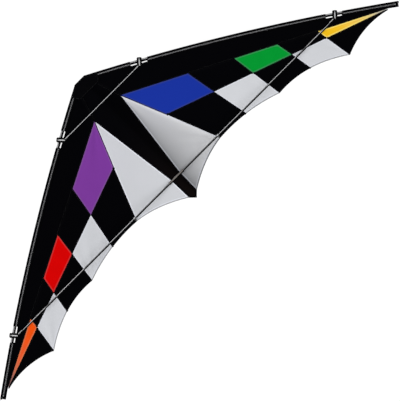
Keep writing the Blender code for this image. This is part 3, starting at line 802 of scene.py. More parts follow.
def quads(n: int, m: int, wrap: bool = False) -> Array:
    """Faces of a grid of n rows and m columns; wrap joins the last column to the first."""
    rows = np.arange(n - 1)[:, None] * m
    columns = np.arange(m if wrap else m - 1)
    ahead = (columns + 1) % m
    corners = (rows + columns, rows + ahead, rows + m + ahead, rows + m + columns)
    return np.stack(corners, -1).reshape(-1, 4)


def placed(name: str, data: bpy.types.ID) -> bpy.types.Object:
    """A new object in the scene."""
    thing = bpy.data.objects.new(name, data)
    bpy.context.scene.collection.objects.link(thing)
    return thing


def sheet_faces(n: int, m: int, hole: Array | None = None) -> list[list[int]]:
    """Faces of a closed sheet: two layers of a grid, joined round the rim and round each hole."""
    cells = quads(n, m)
    if hole is not None:
        cells = cells[~hole.ravel()]
    sides = np.concatenate([cells[:, [k, (k + 1) % 4]] for k in range(4)])
    _, first, uses = np.unique(np.sort(sides, 1), axis=0, return_index=True, return_counts=True)
    rim = [[p, q, q + n * m, p + n * m] for p, q in sides[first[uses == 1]].tolist()]
    return cells.tolist() + (cells[:, ::-1] + n * m).tolist() + rim


def as_mesh(
    name: str,
    points: Array,
    faces: Sequence[Sequence[int]],
    lay: Array | None = None,
    marks: dict[str, Array] | None = None,
    sharp_over: float | None = 50.0,
) -> Mesh:
    """Build a mesh with its faces turned outward.

    Args:
        name: The mesh's name.
        points: World points.
        faces: Corner indices of each face.
        lay: A UV for each point, in metres.
        marks: Numbers for each point, by attribute name.
        sharp_over: Edges sharper than this many degrees stay hard.

    Returns:
        The mesh.
    """
    mesh = bpy.data.meshes.new(name)
    mesh.from_pydata(points.reshape(-1, 3).tolist(), [], [list(map(int, f)) for f in faces])
    shape = bmesh.new()
    shape.from_mesh(mesh)
    bmesh.ops.recalc_face_normals(shape, faces=shape.faces)
    shape.to_mesh(mesh)
    shape.free()
    if lay is not None:
        corner = np.zeros(len(mesh.loops), np.int32)
        mesh.loops.foreach_get("vertex_index", corner)
        layer = mesh.uv_layers.new(name=UV_LAYER)
        layer.uv.foreach_set("vector", lay.reshape(-1, 2)[corner].astype(np.float32).ravel())
    for key, numbers in (marks or {}).items():
        made = mesh.attributes.new(key, "FLOAT", "POINT")
        made.data.foreach_set("value", numbers.astype(np.float32).ravel())
    mesh.shade_smooth()
    if sharp_over is not None:
        mesh.set_sharp_from_angle(angle=math.radians(sharp_over))
    return mesh


def swept(rings: int, sides: int) -> list[list[int]]:
    """Faces of a tube of rings with flat ends."""
    last = (rings - 1) * sides
    ends = [list(range(sides)), list(range(last, last + sides))]
    return quads(rings, sides, wrap=True).tolist() + ends


def turned_mesh(
    name: str,
    line: Sequence[Vector],
    profile: Profile,
    sides: int = 32,
) -> Mesh:
    """Turn a profile about a line.

    Args:
        name: The mesh's name.
        line: World points of the axis, straight or gently bent.
        profile: (distance along the line, radius) pairs; the distance may run back for a bore.
        sides: Corners of each ring.

    Returns:
        A closed mesh with its UV in metres along and around.
    """
    spots = np.array([tuple(p) for p in line], float)
    reached = walked(spots)
    if len(spots) > 2:
        ways = np.gradient(spots, reached, axis=0)
    else:
        ways = np.repeat([spots[1] - spots[0]], 2, axis=0)
    steep = abs(ways[0][2]) >= 0.8 * norm(ways[0])
    reference = np.array([1.0, 0.0, 0.0] if steep else [0.0, 0.0, 1.0])
    turns = np.linspace(0, 2 * math.pi, sides, endpoint=False)
    rings, lay = [], []
    for distance, radius in profile:
        at = np.array([np.interp(distance, reached, spots[:, k]) for k in range(3)])
        if distance > reached[-1] or distance < 0:
            end, way_end = (spots[-1], ways[-1]) if distance > 0 else (spots[0], ways[0])
            over = distance - reached[-1] if distance > 0 else distance
            at = end + over * way_end / norm(way_end)
        way = np.array([np.interp(distance, reached, ways[:, k]) for k in range(3)])
        way /= norm(way)
        across = np.cross(way, reference)
        across /= norm(across)
        up = np.cross(across, way)
        rings.append(at + radius * (np.cos(turns)[:, None] * up + np.sin(turns)[:, None] * across))
        lay.append(np.stack([np.full(sides, distance), radius * turns], -1))
    points = np.array(rings)
    return as_mesh(name, points, swept(len(profile), sides), np.array(lay), None, 35.0)


def bar(start: Vector, end: Vector, radius: float, sides: int = 32) -> Mesh:
    """A plain round bar between two points."""
    return turned_mesh("bar", [start, end], [(0.0, radius), ((end - start).length, radius)], sides)


def two_ended(length: float, start: Profile, middle: Profile = ()) -> Profile:
    """A profile of (distance, radius) whose far end mirrors its start."""
    return [*start, *middle, *((length - distance, radius) for distance, radius in reversed(start))]


def both_faces(upper: Profile) -> Profile:
    """A section of (offset, height) whose lower half mirrors its upper."""
    return [*upper, *((offset, -height) for offset, height in reversed(upper))]


def pipe_profile(length: float, radius: float, bore: float, stations: int = 2) -> Profile:
    """A tube with a small chamfer and an open bore at each end."""
    chamfer = 0.1 * radius
    deep = 2.0 * radius
    body = [(length * k / stations, radius) for k in range(1, stations)]
    start = [(deep, bore), (0.0, bore), (0.0, radius - chamfer), (chamfer, radius)]
    return two_ended(length, start, body)


def ring_profile(length: float, radius: float) -> Profile:
    """A moulded ring, a little waisted between the beads at its ends."""
    chamfer, bead, waist = 0.0006, 0.003, radius - 0.0005
    start = [(0.0, radius - chamfer), (chamfer, radius), (bead, radius), (bead + chamfer, waist)]
    return two_ended(length, start)


def laterals(plan: Array) -> Array:
    """For each point of a plan line, the step to its left with its corners mitred."""
    steps = np.diff(plan, axis=0)
    steps /= norm(steps, axis=1)[:, None]
    left = np.stack([-steps[:, 1], steps[:, 0]], -1)
    before = np.vstack([left[:1], left])
    after = np.vstack([left, left[-1:]])
    middle = before + after
    middle /= norm(middle, axis=1)[:, None]
    return middle / np.maximum((middle * after).sum(1), 0.6)[:, None]


def distance_to(points: Array, line: Array) -> Array:
    """The least distance in plan from each point of a grid to a line."""
    flat = points.reshape(-1, 1, 2)
    start, step = line[None, :-1], np.diff(line, axis=0)[None]
    size = np.maximum((step**2).sum(-1), 1e-12)
    share = np.clip(((flat - start) * step).sum(-1) / size, 0, 1)
    gap = norm(flat - start - share[..., None] * step, axis=-1)
    return gap.min(1).reshape(points.shape[:-1])


@dataclass
class Workshop:
    """Finishes each mesh, puts it on its body and keeps count."""

    stand: Stand
    pieces: int = 0

    def mount(
        self,
        name: str,
        mesh: Mesh,
        finish: Finish,
        body: Body = Body.KITE,
        replaces: Sequence[str] = (),
        toward: Vector | None = None,
    ) -> bpy.types.Object:
        """Make the piece of a mesh.

        Args:
            name: The piece's name.
            mesh: Its mesh, in world places.
            finish: Its surface.
            body: The body that it rides on.
            replaces: The nodes that it stands for.
            toward: The world direction that its painted highlight faces, else up from the spars'
                plane.

        Returns:
            The piece.
        """
        if isinstance(finish, (Moulded, WoundTube)):
            self.mark_highlight_facing(mesh, toward)
        piece = placed(name, mesh)
        mesh.materials.clear()
        mesh.materials.append(finish.material())
        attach(piece, body.value)
        if replaces:
            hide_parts(*replaces)
        self.pieces += 1
        LOG.info("%s: %d faces, %s", name, len(mesh.polygons), finish.name)
        return piece

    def mark_highlight_facing(self, mesh: Mesh, toward: Vector | None) -> None:
        """Mark each point of a mesh by how squarely it faces a direction, for the painted
        highlight.
        """
        way = np.array((toward or self.stand.way(0.0, 0.0, 1.0)).normalized())
        normals = np.zeros(len(mesh.vertices) * 3, np.float32)
        mesh.vertex_normals.foreach_get("vector", normals)
        marked = mesh.attributes.new("crest", "FLOAT", "POINT")
        marked.data.foreach_set("value", (normals.reshape(-1, 3) @ way).astype(np.float32))

    def ribbon(
        self,
        name: str,
        plan: Array,
        side: Side,
        profile: Profile,
        height: Callable[[Array], Array] = PLAN.sail,
        steps: Array | None = None,
    ) -> Mesh:
        """Sweep a closed section of (offset to the left, height) along a plan line on the sail."""
        steps = laterals(plan) if steps is None else steps
        offsets, rises = (np.array(column) for column in zip(*profile))
        where = plan[:, None] + steps[:, None] * offsets[None, :, None]
        points = self.stand.world(where, height(where) + rises, side)
        return as_mesh(name, points, swept(len(plan), len(profile)), crossed(walked(plan), offsets))

    def zigzag(
        self,
        name: str,
        path: Array,
        side: Side,
        swing: tuple[float, float],
        pitch: float,
        radius: float,
        height: Callable[[Array], Array],
    ) -> Mesh:
        """A thread that swings between two offsets along a plan line.

        Args:
            name: The mesh's name.
            path: The plan line.
            side: The wing.
            swing: The two offsets to the line's left.
            pitch: The length of a full swing.
            radius: Half the thread's thickness.
            height: The height of the thread's middle over plan positions.

        Returns:
            The thread as a four-sided tube.
        """
        run = walked(path)
        count = max(int(run[-1] / (pitch / 2)), 2)
        at = np.linspace(0.0, run[-1], count + 1)
        left = laterals(path)
        centre = np.stack([np.interp(at, run, path[:, k]) for k in (0, 1)], -1)
        step = np.stack([np.interp(at, run, left[:, k]) for k in (0, 1)], -1)
        swings = np.where(np.arange(count + 1) % 2 == 0, swing[0], swing[1])
        line = centre + step * swings[:, None]
        cross = laterals(line)
        offsets = np.array([1.0, 0.0, -1.0, 0.0]) * radius
        rises = np.array([0.0, 1.0, 0.0, -1.0]) * radius
        where = line[:, None] + cross[:, None] * offsets[None, :, None]
        points = self.stand.world(where, height(line)[:, None] + rises, side)
        lay = crossed(walked(line), np.arange(4) * radius * 1.5)
        return as_mesh(name, points, swept(len(line), 4), lay, None, None)


def joined(name: str, parts: Sequence[Mesh]) -> Mesh:
    """One mesh of several."""
    shape = bmesh.new()
    for part in parts:
        shape.from_mesh(part)
    mesh = bpy.data.meshes.new(name)
    shape.to_mesh(mesh)
    shape.free()
    for part in parts:
        bpy.data.meshes.remove(part)
    mesh.shade_smooth()
    return mesh


def fused(
    name: str, parts: Sequence[Mesh], voxel: float, bores: Sequence[Mesh] = (),
) -> Mesh:
    """Blend closed shapes into one moulding with soft inner corners, then bore it.

    Args:
        name: The mesh's name.
        parts: The shapes, which overlap.
        voxel: The size of the remesh.
        bores: Shapes to cut away.

    Returns:
        The moulding's mesh.
    """
    holder = placed(name, joined(name, parts))
    remesh = holder.modifiers.new("remesh", "REMESH")
    remesh.mode = "VOXEL"
    remesh.voxel_size = voxel
    remesh.use_smooth_shade = True
    soften = holder.modifiers.new("soften", "SMOOTH")
    soften.factor = 0.5
    soften.iterations = 5
    cutters = []
    for number, bore in enumerate(bores):
        cutter = placed(f"{name}_bore_{number}", bore)
        cut = holder.modifiers.new(cutter.name, "BOOLEAN")
        cut.operation = "DIFFERENCE"
        cut.solver = "EXACT"
        cut.object = cutter
        cutters.append(cutter)
    graph = bpy.context.evaluated_depsgraph_get()
    mesh = bpy.data.meshes.new_from_object(holder.evaluated_get(graph))
    for thing in (holder, *cutters):
        bpy.data.objects.remove(thing, do_unlink=True)
    mesh.name = name
    mesh.shade_smooth()
    mesh.set_sharp_from_angle(angle=math.radians(40))
    return mesh


# Sail


@dataclass(frozen=True)
class Panel:
    """One cut of sailcloth between four paths, each front to rear or inner to outer."""

    node: str
    cloth: Sailcloth
    front: Path
    rear: Path
    inner: Path | None = None
    outer: Path | None = None
    hemmed: bool = False
    tucked: bool = False

    def grid(self, cell: float) -> Array:
        """Plan points of the panel, rows from inner to outer and columns front to rear."""
        ends = np.array([0.0, 1.0])
        inner = self.inner or along(*map(tuple, (self.front(ends)[0], self.rear(ends)[0])))
        outer = self.outer or along(*map(tuple, (self.front(ends)[1], self.rear(ends)[1])))
        many = np.linspace(0, 1, 60)

        def length(path: Path) -> float:
            """The length of a side."""
            return float(walked(path(many))[-1])

        n = max(int(max(length(self.front), length(self.rear)) / cell), 6)
        m = max(int(max(length(inner), length(outer)) / cell), 6)
        u, v = np.linspace(0, 1, n + 1), np.linspace(0, 1, m + 1)
        if self.tucked:
            t0, t1 = PLAN.fraction(self.front(ends))
            slots = [(t - t0) / (t1 - t0) for notch in NOTCHES for t in notch.slot_span]
            return self.ruled_from_sleeve(np.unique(np.concatenate([u, slots])), m)
        f, r, i, o = self.front(u)[:, None], self.rear(u)[:, None], inner(v)[None], outer(v)[None]
        uu, vv = u[:, None, None], v[None, :, None]
        corners = (
            (1 - uu) * (1 - vv) * f[:1] + uu * (1 - vv) * f[-1:]
            + (1 - uu) * vv * r[:1] + uu * vv * r[-1:]
        )
        return (1 - vv) * f + vv * r + (1 - uu) * i + uu * o - corners

    def ruled_from_sleeve(self, u: Array, m: int) -> Array:
        """Straight rows from inside the sleeve, past the slots, to where the cloth leaves it."""
        f, r = self.front(u), self.rear(u)
        width = PLAN.inset(r) - PLAN.sail_inset
        first = np.minimum((PLAN.flat_inset - PLAN.sail_inset) / width, 0.9)[:, None]
        slot = (Notch.slot_insets[1] - PLAN.sail_inset) / (PLAN.flat_inset - PLAN.sail_inset)
        rest = np.linspace(0, 1, m)
        v = np.concatenate([0 * first, slot * first, first + (1 - first) * rest], 1)
        return f[:, None] + (r - f)[:, None] * v[..., None]


@dataclass
class Sail:
    """The panels, seams and hems of both wings and the strip over the spine."""

    shop: Workshop
    thickness: float = 0.0005
    cell: float = 0.0075
    seam_width: float = 0.0070
    hem_width: float = 0.0050
    hem_bead: float = 0.00095
    tape_half: float = 0.0017
    thread_radius: float = 0.00022
    thread_lift: float = 0.00008
    point_cut: float = 0.04
    keel_cut: float = 0.015
    strip_front: float = 0.035
    tee_opening: tuple[float, float, float] = (0.0058, 0.5766, 0.5961)

    def make(self) -> None:
        """Make the whole sail."""
        trims = {side: self.trims(side) for side in Side}
        for side in Side:
            for panel in self.panels(side):
                self.lay_panel(panel, side, trims[side].get(panel.node, []))
        self.centre_strip(trims[Side.RIGHT]["centre_strip"] + trims[Side.LEFT]["centre_strip"])

    def panels(self, side: Side) -> Iterator[Panel]:
        """The twelve panels of one wing."""
        first, second, third = COLOUR_CLOTHS[side]
        b, g1, g2, y1 = PLAN.front_corners()
        c, g1b, g2b, y1b = PLAN.rear_corners()
        yield self.leading_panel()
        row = (
            ("first_colour_panel", first, PLAN.a, b, c, PLAN.d),
            ("second_black_panel", BLACK_CLOTH, b, g1, g1b, c),
            ("second_colour_panel", second, g1, g2, g2b, g1b),
            ("third_black_panel", BLACK_CLOTH, g2, y1, y1b, g2b),
            (
                "third_colour_panel", third, y1, lerp(y1, PLAN.t, 1 - self.point_cut),
                lerp(y1b, PLAN.t, 1 - self.point_cut), y1b,
            ),
        )
        for node, cloth, p, q, r, s in row:
            yield Panel(node, cloth, along(p, q), along(s, r))
        keel_in = lerp(PLAN.a, PLAN.strip_waist, self.keel_cut)
        keel_out = lerp(PLAN.a, PLAN.d, self.keel_cut)
        yield Panel(
            "keel_panel", KEEL_CLOTHS[side], along(keel_in, keel_out),
            PLAN.hem(PLAN.strip_tail[0], PLAN.p1[0]),
            along(keel_in, PLAN.strip_waist, PLAN.strip_tail),
            along(keel_out, PLAN.d, PLAN.p1), hemmed=True,
        )
        q1, q2 = PLAN.hem_seam_x
        lower = (
            ("first_trailing_panel", BLACK_CLOTH, PLAN.d, c, PLAN.p1[0], q1),
            ("second_trailing_panel", LIGHT_CLOTH, c, g1b, q1, PLAN.p2[0]),
            ("third_trailing_panel", BLACK_CLOTH, g1b, g2b, PLAN.p2[0], q2),
            ("fourth_trailing_panel", LIGHT_CLOTH, g2b, y1b, q2, PLAN.p3[0]),
        )
        for node, cloth, p, q, x0, x1 in lower:
            yield Panel(node, cloth, along(p, q), PLAN.hem(x0, x1), hemmed=True)
        tip = lerp(y1b, PLAN.t, 1 - self.point_cut / 2)
        rear = PLAN.hem(PLAN.p3[0], tip[0])
        yield Panel("tip_panel", BLACK_CLOTH, along(y1b, tip), rear, hemmed=True)

    def leading_panel(self) -> Panel:
        """The black panel whose front edge lies inside the sleeve."""
        start = (PLAN.strip_nose_half, PLAN.nose_corner[1])
        walk = along(start, PLAN.a)(np.linspace(0, 1, 401))
        nose = walk[np.argmax(PLAN.inset(walk) >= PLAN.sail_inset)]
        t0, t1 = PLAN.fraction(nose), PLAN.fraction(PLAN.t)
        return Panel(
            "leading_panel", BLACK_CLOTH,
            lambda u: PLAN.edge(PLAN.sail_inset, t0 + u * (t1 - t0)),
            along(PLAN.a, PLAN.t), tucked=True,
        )

    def cloth(
        self,
        name: str,
        grid: Array,
        side: Side,
        marks: dict[str, Array],
        hole: Array | None = None,
    ) -> tuple[Mesh, float]:
        """A thin closed sheet over a grid of plan points.

        Args:
            name: The mesh's name.
            grid: Plan points.
            side: The wing.
            marks: Numbers for each grid point, for the finish.
            hole: True for each cell that is open.

        Returns:
            The mesh and the cloth's area.
        """
        mid = PLAN.sail(grid)
        half = self.thickness / 2
        layers = [self.shop.stand.world(grid, mid + rise, side) for rise in (half, -half)]
        faces = sheet_faces(*grid.shape[:2], hole)
        grain = grid[-1, 0] - grid[0, 0]
        grain /= norm(grain)
        lay = np.stack([grid @ grain, grid @ np.array([-grain[1], grain[0]])], -1)
        top = layers[0]
        a, b = top[1:, :-1] - top[:-1, :-1], top[:-1, 1:] - top[:-1, :-1]
        area = float(norm(np.cross(a, b), axis=-1).sum())
        both = {key: np.stack([numbers, numbers]) for key, numbers in marks.items()}
        mesh = as_mesh(name, np.stack(layers), faces, np.stack([lay, lay]), both, 60.0)
        return mesh, area

    def declare(self, piece: bpy.types.Object, grid: Array, area: float, trims: list[str]) -> None:
        """Work out the sheet's flat points about their middle and list what is sewn to it; neither
        is kept.
        """
        flat = np.stack([grid[..., 0], grid[..., 1], PLAN.sail(grid)], -1).reshape(-1, 3)
        flat = flat - flat.mean(0)
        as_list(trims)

    def lay_panel(self, panel: Panel, side: Side, trims: list[str]) -> None:
        """Make one panel."""
        grid = panel.grid(self.cell)
        borders = [grid[:, 0], grid[0], grid[-1], grid[:, -1]]
        seams = borders[:3] if panel.hemmed else borders
        if panel.tucked:
            seams = borders[1:]
        seam = np.min([distance_to(grid, line) for line in seams], axis=0)
        hem = distance_to(grid, borders[3]) if panel.hemmed else np.full(grid.shape[:2], FAR)
        reach = np.repeat(np.linspace(0, 1, grid.shape[0])[:, None], grid.shape[1], 1)
        node = f"{side.label}_{panel.node}"
        down = np.repeat(np.linspace(0, 1, grid.shape[1])[None], grid.shape[0], 0)
        hole = None
        if panel.tucked:
            middle = (grid[1:, 1:] + grid[:-1, :-1]) / 2
            hole = np.any([notch.slotted(middle) for notch in NOTCHES], axis=0)
        marks = {"seam": seam, "hem": hem, "across": reach, "down": down}
        mesh, area = self.cloth(f"{node}_cloth", grid, side, marks, hole)
        piece = self.shop.mount(f"{node}_cloth", mesh, panel.cloth, replaces=[node])
        self.declare(piece, grid, area, trims)

    def centre_strip(self, trims: list[str]) -> None:
        """The strip over the spine, with its point at the tail and its opening at the tee."""
        open_half, open_front, open_back = self.tee_opening
        shares = np.linspace(0, 1, 6)
        breaks = np.array([
            self.strip_front, PLAN.a[1], 0.36, open_front, open_back, PLAN.strip_tail[1],
        ])
        rows = np.concatenate([
            np.linspace(p, q, max(int((q - p) / 0.012), 2), endpoint=False)
            for p, q in zip(breaks, breaks[1:])
        ] + [breaks[-1:]])
        lines = []
        inner = [0.0, open_half]
        for side in (-1, 1):
            past = PLAN.strip_half(rows) - PLAN.strip_flat
            xs = [np.full(len(rows), x) for x in inner]
            xs += [PLAN.strip_flat + share * past for share in shares]
            lines += [np.stack([side * x, rows], -1) for x in (xs[:0:-1] if side < 0 else xs)]
        grid = np.array(lines)
        late = ease(rows, open_back, PLAN.strip_tail[1])
        ends = PLAN.trailing(np.abs(grid[:, -1, 0]))[:, 1] - PLAN.strip_tail[1]
        grid[..., 1] += late[None] * ends[:, None]
        middle = (grid[1:, 1:] + grid[:-1, :-1]) / 2
        hole = (np.abs(middle[..., 0]) < open_half) & (middle[..., 1] > open_front)
        hole &= middle[..., 1] < open_back
        seam = np.minimum(distance_to(grid, grid[0]), distance_to(grid, grid[-1]))
        hem = distance_to(grid, grid[:, -1])
        reach = np.broadcast_to((grid[..., 1] / PLAN.tail[1]).clip(0, 1), seam.shape)
        marks = {"seam": seam, "hem": hem, "across": reach}
        mesh, area = self.cloth("centre_strip_cloth", grid, Side.RIGHT, marks, hole)
        piece = self.shop.mount("centre_strip_cloth", mesh, STRIP_CLOTH, replaces=["centre_strip"])
        self.declare(piece, grid, area, trims)

    def trims(self, side: Side) -> dict[str, list[str]]:
        """Seams and hems of one wing, by the panel that each is named with."""
        b, g1, g2, y1 = PLAN.front_corners()
        c, g1b, g2b, y1b = PLAN.rear_corners()
        a, d, t, p1, p2, p3 = PLAN.a, PLAN.d, PLAN.t, PLAN.p1, PLAN.p2, PLAN.p3
        q1, q2 = (tuple(PLAN.trailing(x)) for x in PLAN.hem_seam_x)
        t_end = lerp(y1b, t, 0.93)
        waist, tail = PLAN.strip_waist, PLAN.strip_tail
        strip_front = (float(PLAN.strip_half(self.strip_front)), self.strip_front)
        seams = (
            ("leading_panel", "front_seam", (a, lerp(y1, t, 0.95)), (0.5, 0.3), 0.00034),
            ("first_colour_panel", "rear_seam_1", (d, c), q1, 0.0003),
            ("second_black_panel", "rear_seam_2", (c, g1b), g1, 0.0003),
            ("second_colour_panel", "rear_seam_3", (g1b, g2b), q2, 0.0003),
            ("third_black_panel", "rear_seam_4", (g2b, y1b), y1, 0.0003),
            ("third_colour_panel", "rear_seam_5", (y1b, t_end), p3, 0.0003),
            ("second_black_panel", "cross_seam_1", (b, c), g1, 0.00026),
            ("second_colour_panel", "cross_seam_2", (g1, g1b), b, 0.00026),
            ("third_black_panel", "cross_seam_3", (g2, g2b), y1, 0.00026),
            ("third_colour_panel", "cross_seam_4", (y1, y1b), g2, 0.00026),
            ("first_trailing_panel", "keel_seam", (d, p1), q1, 0.00028),
            ("second_trailing_panel", "trailing_seam_1", (c, q1), d, 0.00026),
            ("third_trailing_panel", "trailing_seam_2", (g1b, p2), q2, 0.00026),
            ("fourth_trailing_panel", "trailing_seam_3", (g2b, q2), g1b, 0.00026),
            ("tip_panel", "trailing_seam_4", (y1b, p3), t, 0.00026),
            ("centre_strip", "strip_seam_1", (strip_front, a), (0.0, 0.1), 0.00026),
            ("centre_strip", "strip_seam_2", (a, waist), (0.0, 0.3), 0.00028),
            ("centre_strip", "strip_seam_3", (waist, tail), (0.0, 0.6), 0.00026),
        )
        made: dict[str, list[str]] = {}
        for node, word, ends, toward, rise in seams:
            made.setdefault(node, []).extend(self.seam(side, word, ends, toward, rise))
        made["keel_panel"] = self.keel_tape(side)
        for node, name in self.hems(side):
            made.setdefault(node, []).append(name)
        return made

    def seam(
        self, side: Side, word: str, ends: Sequence[Plan], toward: Plan, rise: float,
    ) -> list[str]:
        """A felled seam on the side of one panel, with a zigzag row on each face.

        Args:
            side: The wing.
            word: The seam's name.
            ends: Its two plan points.
            toward: A plan point on the side where the seam lies.
            rise: The seam's height over the cloth.

        Returns:
            The names of its pieces.
        """
        p, q = (np.array(end) for end in ends)
        if np.cross(q - p, np.array(toward) - p) < 0:
            p, q = q, p
        count = max(int(norm(q - p) / 0.008), 4)
        line = p + np.linspace(0, 1, count + 1)[:, None] * (q - p)
        top, wide, lip = self.thickness / 2 + rise, self.seam_width, 0.0006
        section = [(-lip, 0.0), *both_faces([
            (-lip * 0.4, top), (lip, top * 1.05), (wide / 2, top), (wide - lip, top * 1.05),
            (wide, top * 0.8),
        ])]
        name = f"{side.label}_{word}"
        tape = self.shop.mount(name, self.shop.ribbon(name, line, side, section), SEAM_TAPE)
        rows = [
            self.shop.zigzag(
                f"{name}_row", line, side, (wide * 0.25, wide * 0.68), 0.0036, self.thread_radius,
                lambda where, lift=face * (top + self.thread_lift): PLAN.sail(where) + lift,
            )
            for face in (1, -1)
        ]
        thread = self.shop.mount(f"{name}_stitches", joined(f"{name}_stitches", rows), DARK_THREAD)
        return [tape.name, thread.name]

    def keel_tape(self, side: Side) -> list[str]:
        """The dark tape between the first coloured panel and the keel panel."""
        line = along(PLAN.a, PLAN.d)(np.linspace(0, 1, 30))
        top, half = self.thickness / 2 + 0.00036, self.tape_half
        section = [(-half, 0.0), *both_faces([
            (-half, top * 0.8), (-half * 0.8, top), (half * 0.8, top), (half, top * 0.8),
        ])]
        name = f"{side.label}_keel_tape"
        tape = self.shop.mount(name, self.shop.ribbon(name, line, side, section), KEEL_TAPES[side])
        row = self.shop.zigzag(
            f"{name}_stitches", line, side, (-half * 0.6, half * 0.6), 0.0034, self.thread_radius,
            lambda where: PLAN.sail(where) + top + self.thread_lift,
        )
        thread = self.shop.mount(f"{name}_stitches", row, DARK_THREAD)
        return [tape.name, thread.name]

    def hems(self, side: Side) -> Iterator[tuple[str, str]]:
        """The rolled hem with its bead, cut where the panels change."""
        q1, q2 = PLAN.hem_seam_x
        # The right keel's hem is painted darker, as painted shade.
        keel_hem = RIGHT_KEEL_PAINTED_SHADE_HEM if side is Side.RIGHT else LIGHT_HEM
        runs = (
            ("centre_strip", 0.0, PLAN.strip_tail[0], SEAM_TAPE),
            ("keel_panel", PLAN.strip_tail[0], PLAN.p1[0], keel_hem),
            ("first_trailing_panel", PLAN.p1[0], q1, SEAM_TAPE),
            ("second_trailing_panel", q1, PLAN.p2[0], LIGHT_HEM),
            ("third_trailing_panel", PLAN.p2[0], q2, SEAM_TAPE),
            ("fourth_trailing_panel", q2, PLAN.p3[0], LIGHT_HEM),
            ("tip_panel", PLAN.p3[0], PLAN.hem_end[0] - 0.012, SEAM_TAPE),
        )
        stretches = [
            PLAN.trailing(np.linspace(x0, x1, max(int((x1 - x0) / 0.005), 6)))
            for _, x0, x1, _ in runs
        ]
        whole = np.vstack([stretches[0]] + [piece[1:] for piece in stretches[1:]])
        steps = -laterals(whole)
        wide, bead = self.hem_width, self.hem_bead
        section = both_faces([
            (0.0002, 0.0003), (0.0007, bead * 0.8), (0.0015, bead), (0.0024, bead * 0.75),
            (0.0031, 0.00050), (wide - 0.0004, 0.00048), (wide, 0.00030),
        ])
        start = 0
        for (node, *_, finish), stretch in zip(runs, stretches):
            stop = start + len(stretch)
            name = f"{side.label}_{node}_hem"
            mesh = self.shop.ribbon(name, whole[start:stop], side, section, steps=steps[start:stop])
            yield node, self.shop.mount(name, mesh, finish).name
            start = stop - 1


# Leading edge


@dataclass(frozen=True)
class Notch:
    """Where a connector sits: the spar lies bare there, and a slot runs behind the strap."""

    word: str
    bend: Plan
    length: float
    shift: float
    ring_room: float = 0.017
    slot_shorter: float = 0.0015
    slot_shift: float = -0.003
    band_insets: tuple[float, float] = (-0.006, 0.0076)
    ring_insets: tuple[float, float] = (-0.006, 0.0130)
    slot_insets: tuple[float, float] = (0.0147, 0.0194)

    def crossing(self) -> Array:
        """The plan point where the connector's stub crosses the leading-edge spar."""
        angle = Connectors.stub_angle
        step = np.array([math.cos(angle), -math.sin(angle)])
        walk = np.array(self.bend) + np.linspace(0, Connectors.stub_length, 2001)[:, None] * step
        return walk[np.argmin(np.abs(PLAN.inset(walk) - PLAN.spar_inset))]

    @property
    def slot_length(self) -> float:
        """The length of the slot."""
        return self.length - self.slot_shorter

    @property
    def band_span(self) -> tuple[float, float]:
        """Where the bare spar starts and stops."""
        return self.span(self.length, self.shift)

    @property
    def slot_span(self) -> tuple[float, float]:
        """Where the slot starts and stops."""
        return self.span(self.slot_length, self.shift + self.slot_shift)

    def span(self, length: float, shift: float = 0.0) -> tuple[float, float]:
        """The shares of the leading edge where a cut starts and stops.

        Args:
            length: The length of the cut.
            shift: How far its middle lies beyond the crossing, toward the tip.

        Returns:
            Both shares, the nose's first.
        """
        middle = float(PLAN.fraction(self.crossing())) + shift / PLAN.edge_length
        half = length / 2 / PLAN.edge_length
        return middle - half, middle + half

    def cuts(self) -> Iterator[tuple[tuple[float, float], tuple[float, float]]]:
        """The span and the insets of each cut in the sleeve."""
        yield self.band_span, self.band_insets
        yield self.span(self.ring_room), self.ring_insets
        yield self.slot_span, self.slot_insets

    def slotted(self, plan: Array) -> Array:
        """Whether plan positions lie in the slot."""
        (low, high), t, inset = self.slot_span, PLAN.fraction(plan), PLAN.inset(plan)
        return (t > low) & (t < high) & (inset < self.slot_insets[1])


UPPER = Notch("upper", (0.2263, 0.1375), 0.0766, -0.0026)
LOWER = Notch("lower", (0.9596, 0.5866), 0.0720, -0.0039)
NOTCHES = (UPPER, LOWER)


